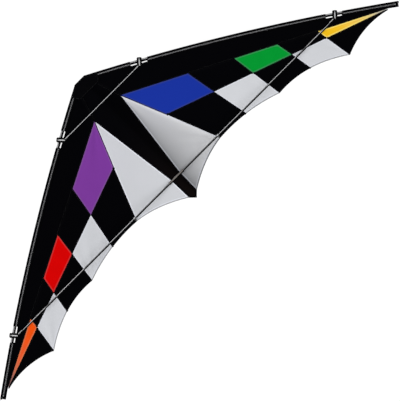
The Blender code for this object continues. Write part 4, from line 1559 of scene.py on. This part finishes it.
@dataclass
class LeadingEdge:
    """Sleeve, its stitched edge line and the spar in it, on both wings."""

    shop: Workshop
    sleeve_width: float = 0.025
    sleeve_radius: float = 0.0046
    fabric: float = 0.0009
    fold_start: float = math.radians(74)
    cloth_top: float = 0.0008
    blend_inset: float = 0.0136
    line_insets: tuple[float, float] = (0.0092, 0.0143)
    end_tape_start: float = 0.0090
    end_tape_half: float = 0.0032
    end_tape_past: float = 0.0016
    tape_rise: float = 0.0004
    notch_tape: float = 0.003
    line_start: float = 0.0305
    line_end: float = 0.994
    spar_radius: float = 0.003
    spar_start: float = 0.004
    spar_bore: float = 0.0021
    cap_radius: float = 0.0046
    cap_length: float = 0.008
    gap: float = 0.0003

    def make(self) -> None:
        """Make both leading edges."""
        for side in Side:
            sleeve = self.sleeve(side)
            trims = [*self.edge_line(side), *self.notch_hems(side)]
            trims += [self.end_tape(side), self.end_dot(side)]
            self.declare(sleeve, trims)
            self.spar(side)
            self.tip_cap(side)

    def section(self) -> Array:
        """The middle of the folded fabric as (inset, z), upper leg to lower leg."""
        leg = self.cloth_top + self.fabric / 2
        r = self.sleeve_radius - self.fabric / 2
        turns = np.linspace(self.fold_start, 2 * math.pi - self.fold_start, 25)
        fold = np.stack([PLAN.spar_inset + r * np.cos(turns), r * np.sin(turns)], -1)
        slot, room, band = Notch.slot_insets, Notch.ring_insets[1], Notch.band_insets[1]
        insets = np.array([
            self.sleeve_width, slot[1], 0.0169, slot[0], self.blend_inset, room, 0.0100, band,
        ])
        drop = np.clip((self.blend_inset - insets) / (self.blend_inset - fold[0, 0]), 0, 1)
        half = list(zip(insets, leg + drop * (fold[0, 1] - leg)))
        lower = [(inset, -z) for inset, z in reversed(half)]
        return np.array([*half, *map(tuple, fold), *lower])

    def top(self, plan: Array) -> Array:
        """The height of the sleeve's upper face over plan positions."""
        section = self.section()
        upper = section[: len(section) // 2 - 6][::-1]
        return np.interp(PLAN.inset(plan), upper[:, 0], upper[:, 1]) + self.fabric / 2

    def sleeve(self, side: Side) -> bpy.types.Object:
        """The doubled polyester sleeve, cut away at the connectors."""
        section = self.section()
        cuts = [cut for notch in NOTCHES for cut in notch.cuts()]
        spans = [span for span, _ in cuts]
        stations = np.unique(np.round(np.concatenate([np.linspace(0, 1, 200), *spans]), 7))
        n, m = len(stations), len(section)
        plan = PLAN.edge(section[None, :, 0], stations[:, None])
        run = stations * PLAN.edge_length
        pucker = 0.00016 * np.sin(run / 0.0021 + 2 * np.sin(run / 0.031))[:, None]
        near = np.exp(-(((section[:, 0] - 0.0125) / 0.004) ** 2)) * np.sign(section[:, 1])
        points = self.shop.stand.world(plan, section[None, :, 1] + pucker * near, side)
        cells = quads(n, m).reshape(n - 1, m - 1, 4)
        keep = np.ones((n - 1, m - 1), bool)
        middle = (stations[1:] + stations[:-1]) / 2
        inset = (section[1:, 0] + section[:-1, 0]) / 2
        for (low, high), (near_edge, far_edge) in cuts:
            open_here = (middle > low) & (middle < high)
            keep[np.ix_(open_here, (inset > near_edge) & (inset < far_edge))] = False
        name = f"{side.label}_sleeve_cloth"
        lay = crossed(run, walked(section))
        mesh = as_mesh(name, points, cells[keep].tolist(), lay, None, None)
        piece = self.shop.mount(name, mesh, SLEEVE_CLOTH, replaces=[f"{side.label}_sleeve"])
        thick = piece.modifiers.new("doubled_fabric", "SOLIDIFY")
        thick.thickness = self.fabric * 0.9
        thick.offset = 0.0
        thick.use_even_offset = True
        return piece

    def declare(self, piece: bpy.types.Object, trims: list[str]) -> None:
        """Work out the sleeve's flat area and the leading edge's length; neither is kept."""
        width = float(walked(self.section())[-1])
        fold = width - 2 * (self.sleeve_width - Notch.band_insets[1])
        slot = 2 * (Notch.slot_insets[1] - Notch.slot_insets[0])
        cut_out = sum(notch.length * fold + notch.slot_length * slot for notch in NOTCHES)
        area = width * PLAN.edge_length - cut_out
        round(PLAN.edge_length, 4)

    def edge_line(self, side: Side) -> list[str]:
        """The grey stitched line along the sleeve, broken at the notches."""
        broken = [t for notch in NOTCHES for t in notch.band_span]
        pauses = [self.line_start, *broken, self.line_end]
        pause = 0.0015 / PLAN.edge_length
        names = []
        low, high = self.line_insets
        for number, (start, stop) in enumerate(zip(pauses[::2], pauses[1::2])):
            t = np.linspace(start + pause, stop - pause, max(int((stop - start) * 150), 8))
            line = PLAN.edge((low + high) / 2, t)
            half = (high - low) / 2
            section = [(-half, 0.0), (-half, 0.0002), (0.0, 0.00026), (half, 0.0002), (half, 0.0)]
            name = f"{side.label}_edge_tape_{number + 1}"
            mesh = self.shop.ribbon(name, line, side, section, self.top)
            names.append(self.shop.mount(name, mesh, EDGE_TAPE).name)
            stitches = self.shop.zigzag(
                f"{name}_stitches", line, side, (-half * 0.86, half * 0.86), 0.0026, 0.0003,
                lambda where: self.top(where) + 0.00034,
            )
            names.append(self.shop.mount(f"{name}_stitches", stitches, GREY_THREAD).name)
        return names

    def notch_hems(self, side: Side) -> list[str]:
        """Tape bound round the cut edges of each slot."""
        names = []
        wide = self.notch_tape
        for notch in NOTCHES:
            low, high = notch.slot_span
            step = wide / 2 / PLAN.edge_length
            spot = notch.slot_insets[1] + wide / 2
            bottom = PLAN.edge(spot, np.linspace(low - 2 * step, high + 2 * step, 24))
            section = self.tape_section(wide / 2)
            parts = [self.shop.ribbon(notch.word, bottom, side, section, self.top)]
            for t in (low - step, high + step):
                climb = PLAN.edge(np.linspace(notch.band_insets[1], spot, 8), np.full(8, t))
                parts.append(self.shop.ribbon(notch.word, climb, side, section, self.top))
            name = f"{side.label}_{notch.word}_notch_hem"
            names.append(self.shop.mount(name, joined(name, parts), SEAM_TAPE).name)
        return names

    def tape_section(self, half: float) -> Profile:
        """The section of a tape that lies on the sleeve."""
        rise = self.tape_rise
        return [(-half, 0.0), (-half, rise), (half, rise), (half, 0.0)]

    def end_tape(self, side: Side) -> str:
        """Tape bound round the sleeve's end beside the tip cap."""
        insets = np.linspace(self.end_tape_start, self.sleeve_width - self.gap, 8)
        line = PLAN.edge(insets, np.full(8, 1 + self.end_tape_past / PLAN.edge_length))
        name = f"{side.label}_sleeve_end_tape"
        section = self.tape_section(self.end_tape_half)
        mesh = self.shop.ribbon(name, line, side, section, self.top)
        return self.shop.mount(name, mesh, SEAM_TAPE).name

    def end_dot(self, side: Side) -> str:
        """The pale knot where the stitched line ends near the tip."""
        middle = PLAN.edge(sum(self.line_insets) / 2, self.line_end - 0.0005)
        height = float(self.top(middle))
        base = self.shop.stand.world(middle, height, side)
        peak = self.shop.stand.world(middle, height + 0.0016, side)
        profile = [
            (0.0, 0.0002), (0.0, 0.0017), (0.0006, 0.0020), (0.0012, 0.0016), (0.0016, 0.0004),
        ]
        name = f"{side.label}_edge_knot"
        mesh = turned_mesh(name, [Vector(base), Vector(peak)], profile, 16)
        return self.shop.mount(name, mesh, PALE_THREAD).name

    def spar(self, side: Side) -> None:
        """The carbon tube in the sleeve."""
        past = self.cap_length / 2 / PLAN.edge_length
        t = np.linspace(self.spar_start, 1 + past, 60)
        line = [Vector(p) for p in self.shop.stand.world(PLAN.edge(PLAN.spar_inset, t), 0.0, side)]
        length = sum((q - p).length for p, q in zip(line, line[1:]))
        name = f"{side.label}_leading_edge_tube"
        profile = pipe_profile(length, self.spar_radius, self.spar_bore, 60)
        mesh = turned_mesh(name, line, profile, 24)
        self.shop.mount(name, mesh, CARBON, replaces=[f"{side.label}_leading_edge_spar"])

    def tip_cap(self, side: Side) -> None:
        """The rubber cap on the spar's outer end, with a groove for the tension line."""
        far = 0.3
        ends = PLAN.edge(PLAN.spar_inset, 1 + np.array([self.gap, far]) / PLAN.edge_length)
        start, ahead = (Vector(p) for p in self.shop.stand.world(ends, 0.0, side))
        way = (ahead - start).normalized()
        r, length, bore = self.cap_radius, self.cap_length - self.gap, Connectors.spar_bore
        profile = [
            (0.0035, bore), (0.0, bore), (0.0, r - 0.0004), (0.0004, r), (0.0030, r),
            (0.0034, r - 0.0008), (0.0044, r - 0.0008), (0.0048, r), (length - 0.0012, r),
            (length - 0.0003, r - 0.0008), (length, r - 0.0018),
        ]
        name = f"{side.label}_tip_end_cap"
        mesh = turned_mesh(name, [start, start + way * length], profile, 24)
        self.shop.mount(name, mesh, CAP_RUBBER, replaces=[f"{side.label}_tip_cap"])


# Frame


@dataclass
class Connectors:
    """The moulded corner fittings between spreaders and leading edges."""

    shop: Workshop
    stub_length: float = 0.0354
    stub_angle: float = math.radians(48)
    stub_radius: float = 0.0070
    stub_half_width: float = 0.0110
    arm_length: float = 0.030
    arm_radius: float = 0.0060
    ring_radius: float = 0.0063
    ring_length: float = 0.016
    spreader_z: float = 0.009
    socket_bore: float = 0.0043
    socket_depth: float = 0.024
    spar_bore: float = 0.0033
    flat_turn: float = math.radians(40)
    voxel: float = 0.00065
    # Lean and narrowing of the painted highlight on each socket arm, upper then lower.
    arm_highlight_leans: tuple[tuple[float, float], ...] = ((0.50, 0.19), (0.80, 0.09))

    def make(self) -> None:
        """Make all four."""
        for side in Side:
            for notch in NOTCHES:
                self.connector(side, notch)

    def connector(self, side: Side, notch: Notch) -> None:
        """Ring on the leading-edge spar, blunt stub over it, and socket arm."""
        stand = self.shop.stand
        bend = stand.point(side.value * notch.bend[0], notch.bend[1], self.spreader_z)
        stub = stand.way(side.value * math.cos(self.stub_angle), -math.sin(self.stub_angle), 0.0)
        arm = Vector((-side.value, 0.0, 0.0))
        cross = notch.crossing()
        middle = Vector(stand.world(cross, 0.0, side))
        t = float(PLAN.fraction(cross))
        pair = stand.world(PLAN.edge(PLAN.spar_inset, np.array([t - 0.001, t + 0.001])), 0.0, side)
        way = Vector(pair[1] - pair[0]).normalized()
        half = way * self.ring_length / 2
        name = f"{side.label}_{notch.word}_corner_fitting"
        r, a, g = self.stub_radius, self.arm_radius, self.ring_radius
        long, reach = self.stub_length, self.arm_length
        turns = [k * math.pi / 12 for k in range(7)]
        quarter = [(math.cos(turn), max(math.sin(turn), 0.02)) for turn in turns]
        cap = long - r * math.cos(self.flat_turn)
        groove = cap - 0.0034
        body = turned_mesh("stub", [bend, bend + stub * long], [
            *((-r * x, r * y) for x, y in quarter), (groove, r), (groove + 0.0004, r - 0.0005),
            (groove + 0.0016, r - 0.0005), (groove + 0.0020, r),
            *((cap + r * x, r * y) for x, y in reversed(quarter[3:])),
            (long, r * math.sin(self.flat_turn)),
        ])
        across = stub.cross(stand.way(0.0, 0.0, 1.0))
        widen = Matrix.Scale(self.stub_half_width / r, 4, across)
        body.transform(Matrix.Translation(bend) @ widen @ Matrix.Translation(-bend))
        parts = [
            body,
            turned_mesh("arm", [bend, bend + arm * reach], [
                (0.0, a), (0.008, a), (0.016, a * 0.93), (reach - 0.006, a * 0.93),
                (reach - 0.005, a), (reach - 0.0004, a), (reach, a - 0.0004),
            ]),
            turned_mesh("ring", [middle - half, middle + half], ring_profile(self.ring_length, g)),
            turned_mesh("rib", [bend + stub * 0.004, bend + arm * 0.013], [
                (0.0, 0.0020), (0.006, 0.0036), ((stub * 0.004 - arm * 0.013).length, 0.0020),
            ], 16),
        ]
        socket = bend + arm * (reach - self.socket_depth)
        bores = [
            bar(socket, bend + arm * (reach + 0.01), self.socket_bore),
            bar(middle - half * 1.6, middle + half * 1.6, self.spar_bore),
        ]
        mesh = fused(name, parts, self.voxel, bores)
        self.shop.mount(name, mesh, RUBBER, replaces=[f"{side.label}_{notch.word}_connector"])
        self.paint_arm_highlight(mesh, bend, side, *self.arm_highlight_leans[NOTCHES.index(notch)])

    def paint_arm_highlight(
        self, mesh: Mesh, bend: Vector, side: Side, lean: float, narrowing: float,
    ) -> None:
        """Turn the painted highlight of a socket arm toward the nose, as on the spreader in it.

        Args:
            mesh: The fitting's mesh, with where its painted highlight lies marked.
            bend: Where arm and stub meet.
            side: The wing.
            lean: Share of the painted highlight's direction that points to the nose.
            narrowing: How fast the painted highlight ends across the arm, less for a wider one.
        """
        count = len(mesh.vertices)
        places, normals, marks = (np.zeros(count * n, np.float32) for n in (3, 3, 1))
        mesh.vertices.foreach_get("co", places)
        mesh.vertex_normals.foreach_get("vector", normals)
        marked = mesh.attributes["crest"].data
        marked.foreach_get("value", marks)
        way = np.array(self.shop.stand.way(0.0, -lean, math.sqrt(1 - lean * lean)))
        on_arm = ease(side.value * (bend.x - places.reshape(-1, 3)[:, 0]), -0.001, 0.003)
        leaning = 1 - (1 - normals.reshape(-1, 3) @ way) * narrowing
        marked.foreach_set("value", (marks + on_arm * (leaning - marks)).astype(np.float32))


@dataclass
class Spars:
    """Spine, spreaders and the tee that ties them."""

    shop: Workshop
    radius: float = 0.003
    spreader_radius: float = 0.004
    wall: float = 0.0009
    spine_z: float = -0.009
    spine_ends: tuple[float, float] = (0.008, 0.7036)
    spreader_z: float = 0.009
    upper_s: float = 0.1375
    lower_s: float = 0.5866
    upper_reach: float = 0.2203
    lower_start: float = 0.0063
    lower_reach: float = 0.9536
    tee_half: float = 0.043
    tee_radius: float = 0.0066
    ring_length: float = 0.020
    ring_radius: float = 0.0063
    web_radius: float = 0.0046
    # Directions that the painted highlights on the tubes and on the tee face.
    tube_highlight_way: tuple[float, float, float] = (0.0, -0.60, 0.80)
    tee_highlight_way: tuple[float, float, float] = (0.0, -0.57, 0.82)
    plug_length: float = 0.005
    gap: float = 0.0003
    voxel: float = 0.0006

    def make(self) -> None:
        """Make the spine, the three spreaders, the tee and the spine's plug."""
        point = self.shop.stand.point
        z, wide = self.spreader_z, self.spreader_radius
        ends = [point(0, s, self.spine_z) for s in self.spine_ends]
        self.tube("spine", ends, self.radius)
        reach = self.upper_reach
        ends = [point(x, self.upper_s, z) for x in (-reach, reach)]
        self.tube("upper_spreader", ends, wide)
        for side in Side:
            xs = (side.value * x for x in (self.lower_start, self.lower_reach))
            ends = [point(x, self.lower_s, z) for x in xs]
            self.tube(f"{side.label}_lower_spreader", ends, wide, LOWER_CARBON)
        self.tee()
        self.spine_cap()

    def tube(
        self, node: str, ends: list[Vector], radius: float, finish: WoundTube = SPREADER_CARBON,
    ) -> None:
        """One carbon tube in the place of a node."""
        length = (ends[1] - ends[0]).length
        name = f"{node}_tube"
        mesh = turned_mesh(name, ends, pipe_profile(length, radius, radius - self.wall, 12))
        toward = self.shop.stand.way(*self.tube_highlight_way)
        self.shop.mount(name, mesh, finish, replaces=[node], toward=toward)

    def tee(self) -> None:
        """The moulded tee: socket tube over the strip, web through it, ring on the spine."""
        point = self.shop.stand.point
        half, r, s = self.tee_half, self.tee_radius, self.lower_s
        ends = [point(x, s, self.spreader_z) for x in (-half, half)]
        waist = r - 0.0009
        socket_tube = turned_mesh("tube", ends, two_ended(2 * half, [
            (0.0, r - 0.0010), (0.0010, r), (0.0050, r), (0.0062, waist), (half - 0.013, waist),
            (half - 0.009, r),
        ]))
        bores = []
        for side in Side:
            line = [point(side.value * x, s, self.spreader_z) for x in (0.006, half + 0.01)]
            bores.append(bar(*line, Connectors.socket_bore))
        mesh = fused("tee_fitting", [socket_tube], self.voxel, bores)
        toward = self.shop.stand.way(*self.tee_highlight_way)
        self.shop.mount("tee_fitting", mesh, TEE_RUBBER, replaces=["centre_tee"], toward=toward)
        self.collar()

    def collar(self) -> None:
        """The tee's other half: the collar round the spine and the web up to the socket tube."""
        point = self.shop.stand.point
        ring, s, z = self.ring_length / 2, self.lower_s, self.spine_z
        spine = [point(0, s + k * ring, z) for k in (-1, 1)]
        profile = ring_profile(self.ring_length, self.ring_radius)
        top = self.spreader_z - self.tee_radius + 0.0008
        parts = [
            turned_mesh("collar", spine, profile),
            bar(point(0, s, z), point(0, s, top), self.web_radius, 24),
        ]
        bore = bar(point(0, s - 2 * ring, z), point(0, s + 2 * ring, z), Connectors.spar_bore)
        mesh = fused("tee_collar", parts, self.voxel, [bore])
        self.shop.mount("tee_collar", mesh, MATT_RUBBER)

    def spine_cap(self) -> None:
        """The rubber plug that closes the spine's end, flush with the tube."""
        point = self.shop.stand.point
        near = self.spine_ends[1] + self.gap
        ends = [point(0, near, self.spine_z), point(0, near + self.plug_length, self.spine_z)]
        r, length = self.radius, self.plug_length
        profile = [
            (0.0, r - 0.0006), (0.0003, r), (0.0016, r), (0.0019, r - 0.0004), (0.0025, r - 0.0004),
            (0.0028, r), (length - 0.0006, r), (length, r - 0.0008),
        ]
        mesh = turned_mesh("spine_end_plug", ends, profile, 24)
        self.shop.mount("spine_end_plug", mesh, MATT_RUBBER, replaces=["spine_cap"])


@dataclass
class NoseCap:
    """The webbing folded over the nose, with its stitching."""

    shop: Workshop
    top_z: float = 0.0056
    bottom_z: float = -0.0135
    wall: float = 0.001
    outline: tuple[Plan, ...] = ((0.028, 0.0), (0.0778, 0.0278), (0.060, 0.062))
    corner: float = 0.0022
    stitch_inset: float = 0.0052

    def half_width(self, s: Array) -> Array:
        """Half the width of the webbing at s."""
        xs, ss = zip(*self.outline)
        return np.interp(s, ss, xs)

    def fold(self) -> Array:
        """The middle of the webbing as (s, z), from the upper leg round the front to the lower."""
        top, low, near = self.top_z - self.wall / 2, self.bottom_z + self.wall / 2, self.wall / 2
        back, side_s = self.outline[2][1], self.outline[1][1]
        r = self.corner
        runs = np.concatenate([np.linspace(back, side_s, 8), np.linspace(side_s, near + r, 7)[1:]])
        turns = np.linspace(0, math.pi / 2, 6)[1:-1]
        upper = [(s, top) for s in runs]
        bend = [(near + r * (1 - math.sin(t)), top - r * (1 - math.cos(t))) for t in turns]
        front = [(near, z) for z in np.linspace(top - r, low + r, 5)]
        back_leg = [(s, top + low - z) for s, z in reversed([*upper, *bend])]
        return np.array([*upper, *bend, *front, *back_leg])

    def make(self) -> None:
        """Make the webbing and the stitching on both of its legs."""
        fold = self.fold()
        shares = np.linspace(-1, 1, 41)
        half = self.half_width(fold[:, 0])
        plan = np.stack(np.broadcast_arrays(half[:, None] * shares, fold[:, :1]), -1)
        points = self.shop.stand.world(plan, fold[:, 1:], Side.RIGHT)
        run = walked(fold)
        lay = np.stack(np.broadcast_arrays(half[:, None] * shares, run[:, None]), -1)
        faces = quads(len(fold), len(shares)).tolist()
        mesh = as_mesh("nose_webbing_fold", points, faces, lay, None, None)
        piece = self.shop.mount("nose_webbing_fold", mesh, WEBBING, replaces=["nose_cap"])
        thick = piece.modifiers.new("webbing", "SOLIDIFY")
        thick.thickness = self.wall
        thick.offset = 0.0
        legs = (("upper", self.top_z), ("lower", self.bottom_z))
        trims = [self.stitching(f"nose_{leg}_stitches", z) for leg, z in legs]

    def stitching(self, name: str, z: float) -> str:
        """A zigzag row round one leg, just inside its edges."""
        ring = np.array([*self.outline, *((-x, s) for x, s in reversed(self.outline))])
        inward = ring.mean(0) - ring
        inward *= self.stitch_inset / norm(inward, axis=1)[:, None]
        loop = ring + inward
        line = along(*loop, loop[0])(np.linspace(0, 1, 140))
        lift = 0.0002 * math.copysign(1, z)
        mesh = self.shop.zigzag(
            name, line, Side.RIGHT, (-0.0011, 0.0011), 0.0034, 0.00028,
            lambda where: np.full(where.shape[:-1], z + lift),
        )
        return self.shop.mount(name, mesh, DARK_THREAD).name


# Standoffs


@dataclass
class Standoffs:
    """The hinged sail supports on the lower spreader, and the patches that they bear on."""

    shop: Workshop
    x: float = 0.251
    foot_s: float = 0.5955
    clip_radius: float = 0.0064
    clip_length: float = 0.010
    # Direction that the clip's painted highlight faces.
    clip_highlight_way: tuple[float, float, float] = (0.0, -0.75, 0.66)
    socket_top: float = 0.008
    socket_end: float = 0.022
    rod_radius: float = 0.00125
    rod_bore: float = 0.00155
    foot_radius: float = 0.0026
    foot_length: float = 0.014
    patch_radius: float = 0.020
    patch_slope: float = 1.18
    gap: float = 0.0003
    cloth: float = 0.001

    def make(self) -> None:
        """Make both supports and their patches."""
        for side in Side:
            self.support(side)
            self.patch(side)

    def support(self, side: Side) -> None:
        """Clip, rod and foot on their own body."""
        stand = self.shop.stand
        x = side.value * self.x
        hinge = stand.point(x, Spars.lower_s, Spars.spreader_z)
        slope = (PLAN.depth_most - PLAN.strip_sink) / (PLAN.p1[0] - PLAN.strip_flat)
        rise = self.foot_radius * slope
        seat = float(-PLAN.depth(np.array([self.x, self.foot_s])))
        foot = stand.point(x, self.foot_s, seat + self.cloth / 2 + rise + self.gap)
        down = (foot - hinge).normalized()
        reach = (foot - hinge).length
        body = Body.standoff(side)
        word = side.label
        self.clip(side, hinge, down, body)
        spans = (self.socket_top + self.gap, reach - 0.002 - self.gap)
        rod = [hinge + down * span for span in spans]
        long, r = (rod[1] - rod[0]).length, self.rod_radius
        mesh = turned_mesh(f"{word}_support_rod", rod, [
            (0.0, r - 0.0003), (0.0003, r), (long / 2, r), (long - 0.0003, r), (long, r - 0.0003),
        ], 20)
        self.shop.mount(mesh.name, mesh, ROD, body, [f"{word}_standoff_rod"])
        f, deep, bore = self.foot_radius, self.foot_length, 0.0015
        start = hinge + down * (reach - deep)
        mesh = turned_mesh(f"{word}_support_foot", [start, foot], [
            (deep - 0.002, bore), (0.0, bore), (0.0, f - 0.0006), (0.0005, f - 0.0002),
            (0.0030, f - 0.0002), (0.0034, f - 0.0006), (deep - 0.0042, f - 0.0006),
            (deep - 0.0036, f), (deep - 0.0006, f), (deep, f - 0.0006),
        ], 24)
        self.shop.mount(mesh.name, mesh, CAP_RUBBER, body, [f"{word}_standoff_foot"])

    def clip(self, side: Side, hinge: Vector, down: Vector, body: Body) -> None:
        """The clip: a ring round the spreader, with the rod's socket."""
        axial = Vector((self.clip_length / 2, 0.0, 0.0))
        r = self.clip_radius
        ring = turned_mesh("ring", [hinge - axial, hinge + axial], two_ended(self.clip_length, [
            (0.0, r - 0.0007), (0.0006, r), (0.0024, r), (0.0030, r - 0.0004),
        ]))
        end = self.socket_end
        socket = turned_mesh("socket", [hinge + down * 0.004, hinge + down * end], [
            (0.0, 0.0034), (0.004, 0.0034), (end - 0.010, 0.0030), (end - 0.0065, 0.0030),
            (end - 0.0060, 0.0034), (end - 0.0044, 0.0034), (end - 0.0040, 0.0028),
        ], 24)
        bores = [
            bar(hinge - axial * 2, hinge + axial * 2, Connectors.socket_bore),
            bar(hinge + down * self.socket_top, hinge + down * (end + 0.01), self.rod_bore, 20),
        ]
        name = f"{side.label}_support_clip"
        mesh = fused(name, [ring, socket], 0.0004, bores)
        toward = self.shop.stand.way(*self.clip_highlight_way)
        self.shop.mount(name, mesh, CLIP_PLASTIC, body, [f"{side.label}_standoff_clip"], toward)

    def patch(self, side: Side) -> None:
        """The woven patch behind the sail where the foot pushes on it."""
        radius, below = self.patch_radius, self.cloth + 2 * self.gap
        xs = np.linspace(PLAN.p1[0] - radius, PLAN.p1[0] + radius, 17)
        end = np.interp(xs, [xs[0], PLAN.p1[0], xs[-1]], [
            float(PLAN.trailing(x)[1]) - 0.001 for x in (xs[0], PLAN.p1[0], xs[-1])
        ])
        back = np.linspace(0, radius, 9)
        grid = np.stack(np.broadcast_arrays(xs[:, None], end[:, None] - back), -1)
        share = 1 - np.abs(xs - PLAN.p1[0]) / radius
        ridge = -PLAN.depth_most * (grid[..., 1] / PLAN.p1[1]) ** PLAN.depth_growth
        near_z = PLAN.sail(np.stack([np.full_like(grid[..., 0], xs[0]), grid[..., 1]], -1))
        far_z = PLAN.sail(np.stack([np.full_like(grid[..., 0], xs[-1]), grid[..., 1]], -1))
        flank = np.where(grid[..., 0] > PLAN.p1[0], far_z, near_z)
        sharp = flank + (ridge - flank) * share[:, None]
        z = np.minimum(sharp, PLAN.sail(grid)) - below
        half = 0.45 * self.cloth
        layers = np.stack([self.shop.stand.world(grid, z + k * half, side) for k in (1, -1)])
        name = f"{side.label}_support_patch"
        faces = sheet_faces(*grid.shape[:2])
        mesh = as_mesh(name, layers, faces, np.stack([grid, grid]))
        piece = self.shop.mount(name, mesh, WEBBING, replaces=[f"{side.label}_standoff_patch"])


# Studio


@dataclass
class Studio:
    """Floor, lights and camera."""

    shop: Workshop
    aim: Plan = (0.0009, 0.7288)
    pixel: float = 0.004277
    image_width: int = 400
    lens: float = 1200.0
    sensor: float = 36.0
    surround: float = 0.27
    floor_radii: tuple[float, ...] = (0.5, 4.0, 70.0)
    floor_sides: int = 96

    def make(self) -> None:
        """Set the scene around the kite."""
        self.floor()
        self.light()
        self.camera()
        view = bpy.context.scene.view_settings
        view.view_transform = "Standard"
        view.look = "None"
        view.exposure = 0.0
        view.gamma = 1.0

    def floor(self) -> None:
        """A wide pale sheet of paper."""
        many, radii = self.floor_sides, np.array(self.floor_radii)[:, None]
        turns = np.linspace(0, 2 * math.pi, many, endpoint=False)
        rings = np.stack([radii * np.cos(turns), radii * np.sin(turns), 0 * radii * turns], -1)
        faces = quads(len(radii), many, wrap=True).tolist() + [list(range(many))]
        mesh = as_mesh("floor", rings, faces)
        mesh.materials.append(FLOOR.material())
        sheet = placed("floor", mesh)

    def light(self) -> None:
        """A wide key from the left wing's side, a fill overhead and pale surroundings."""
        world = bpy.context.scene.world or bpy.data.worlds.new("studio")
        bpy.context.scene.world = world
        world.use_nodes = True
        back = world.node_tree.nodes["Background"]
        back.inputs["Color"].default_value = (1.0, 1.0, 1.0, 1.0)
        back.inputs["Strength"].default_value = self.surround
        lamps = (
            ("key", (-6.4, 0.6, 5.8), 4.0, 400.0),
            ("overhead", (0.0, 2.0, 8.8), 6.4, 400.0),
        )
        for name, place, size, power in lamps:
            lamp = bpy.data.lights.new(name, "AREA")
            lamp.shape = "DISK"
            lamp.size = size
            lamp.energy = power
            holder = placed(name, lamp)
            holder.location = place
            holder.rotation_euler = (-Vector(place)).to_track_quat("-Z", "Y").to_euler()

    def camera(self) -> None:
        """A long lens square to the leading-edge plane, turned so that the nose is upper left."""
        stand = self.shop.stand
        aim = stand.point(*self.aim, 0.0)
        distance = self.image_width * self.pixel * self.lens / self.sensor
        outward = stand.way(0.0, 0.0, 1.0)
        across, back = Vector((1.0, 0.0, 0.0)), stand.way(0.0, 1.0, 0.0)
        right, up = (across + back).normalized(), (across - back).normalized()
        data = bpy.data.cameras.new("camera")
        data.sensor_fit = "HORIZONTAL"
        data.sensor_width = self.sensor
        data.lens = self.lens
        data.clip_start = 0.5
        data.clip_end = 400.0
        camera = placed("camera", data)
        turn = Matrix((right, up, outward)).transposed().to_4x4()
        camera.matrix_world = Matrix.Translation(aim + outward * distance) @ turn
        bpy.context.scene.camera = camera


def main() -> None:
    """Build every sub-assembly in order."""
    logging.basicConfig(level=logging.INFO, format="%(message)s")
    shop = Workshop(Stand.from_frame())
    for builder in (Spars, LeadingEdge, Connectors, NoseCap, Sail, Standoffs):
        builder(shop).make()
        LOG.info("%s done, %d pieces so far", builder.__name__, shop.pieces)
    Studio(shop).make()


if __name__ == "__main__":
    main()
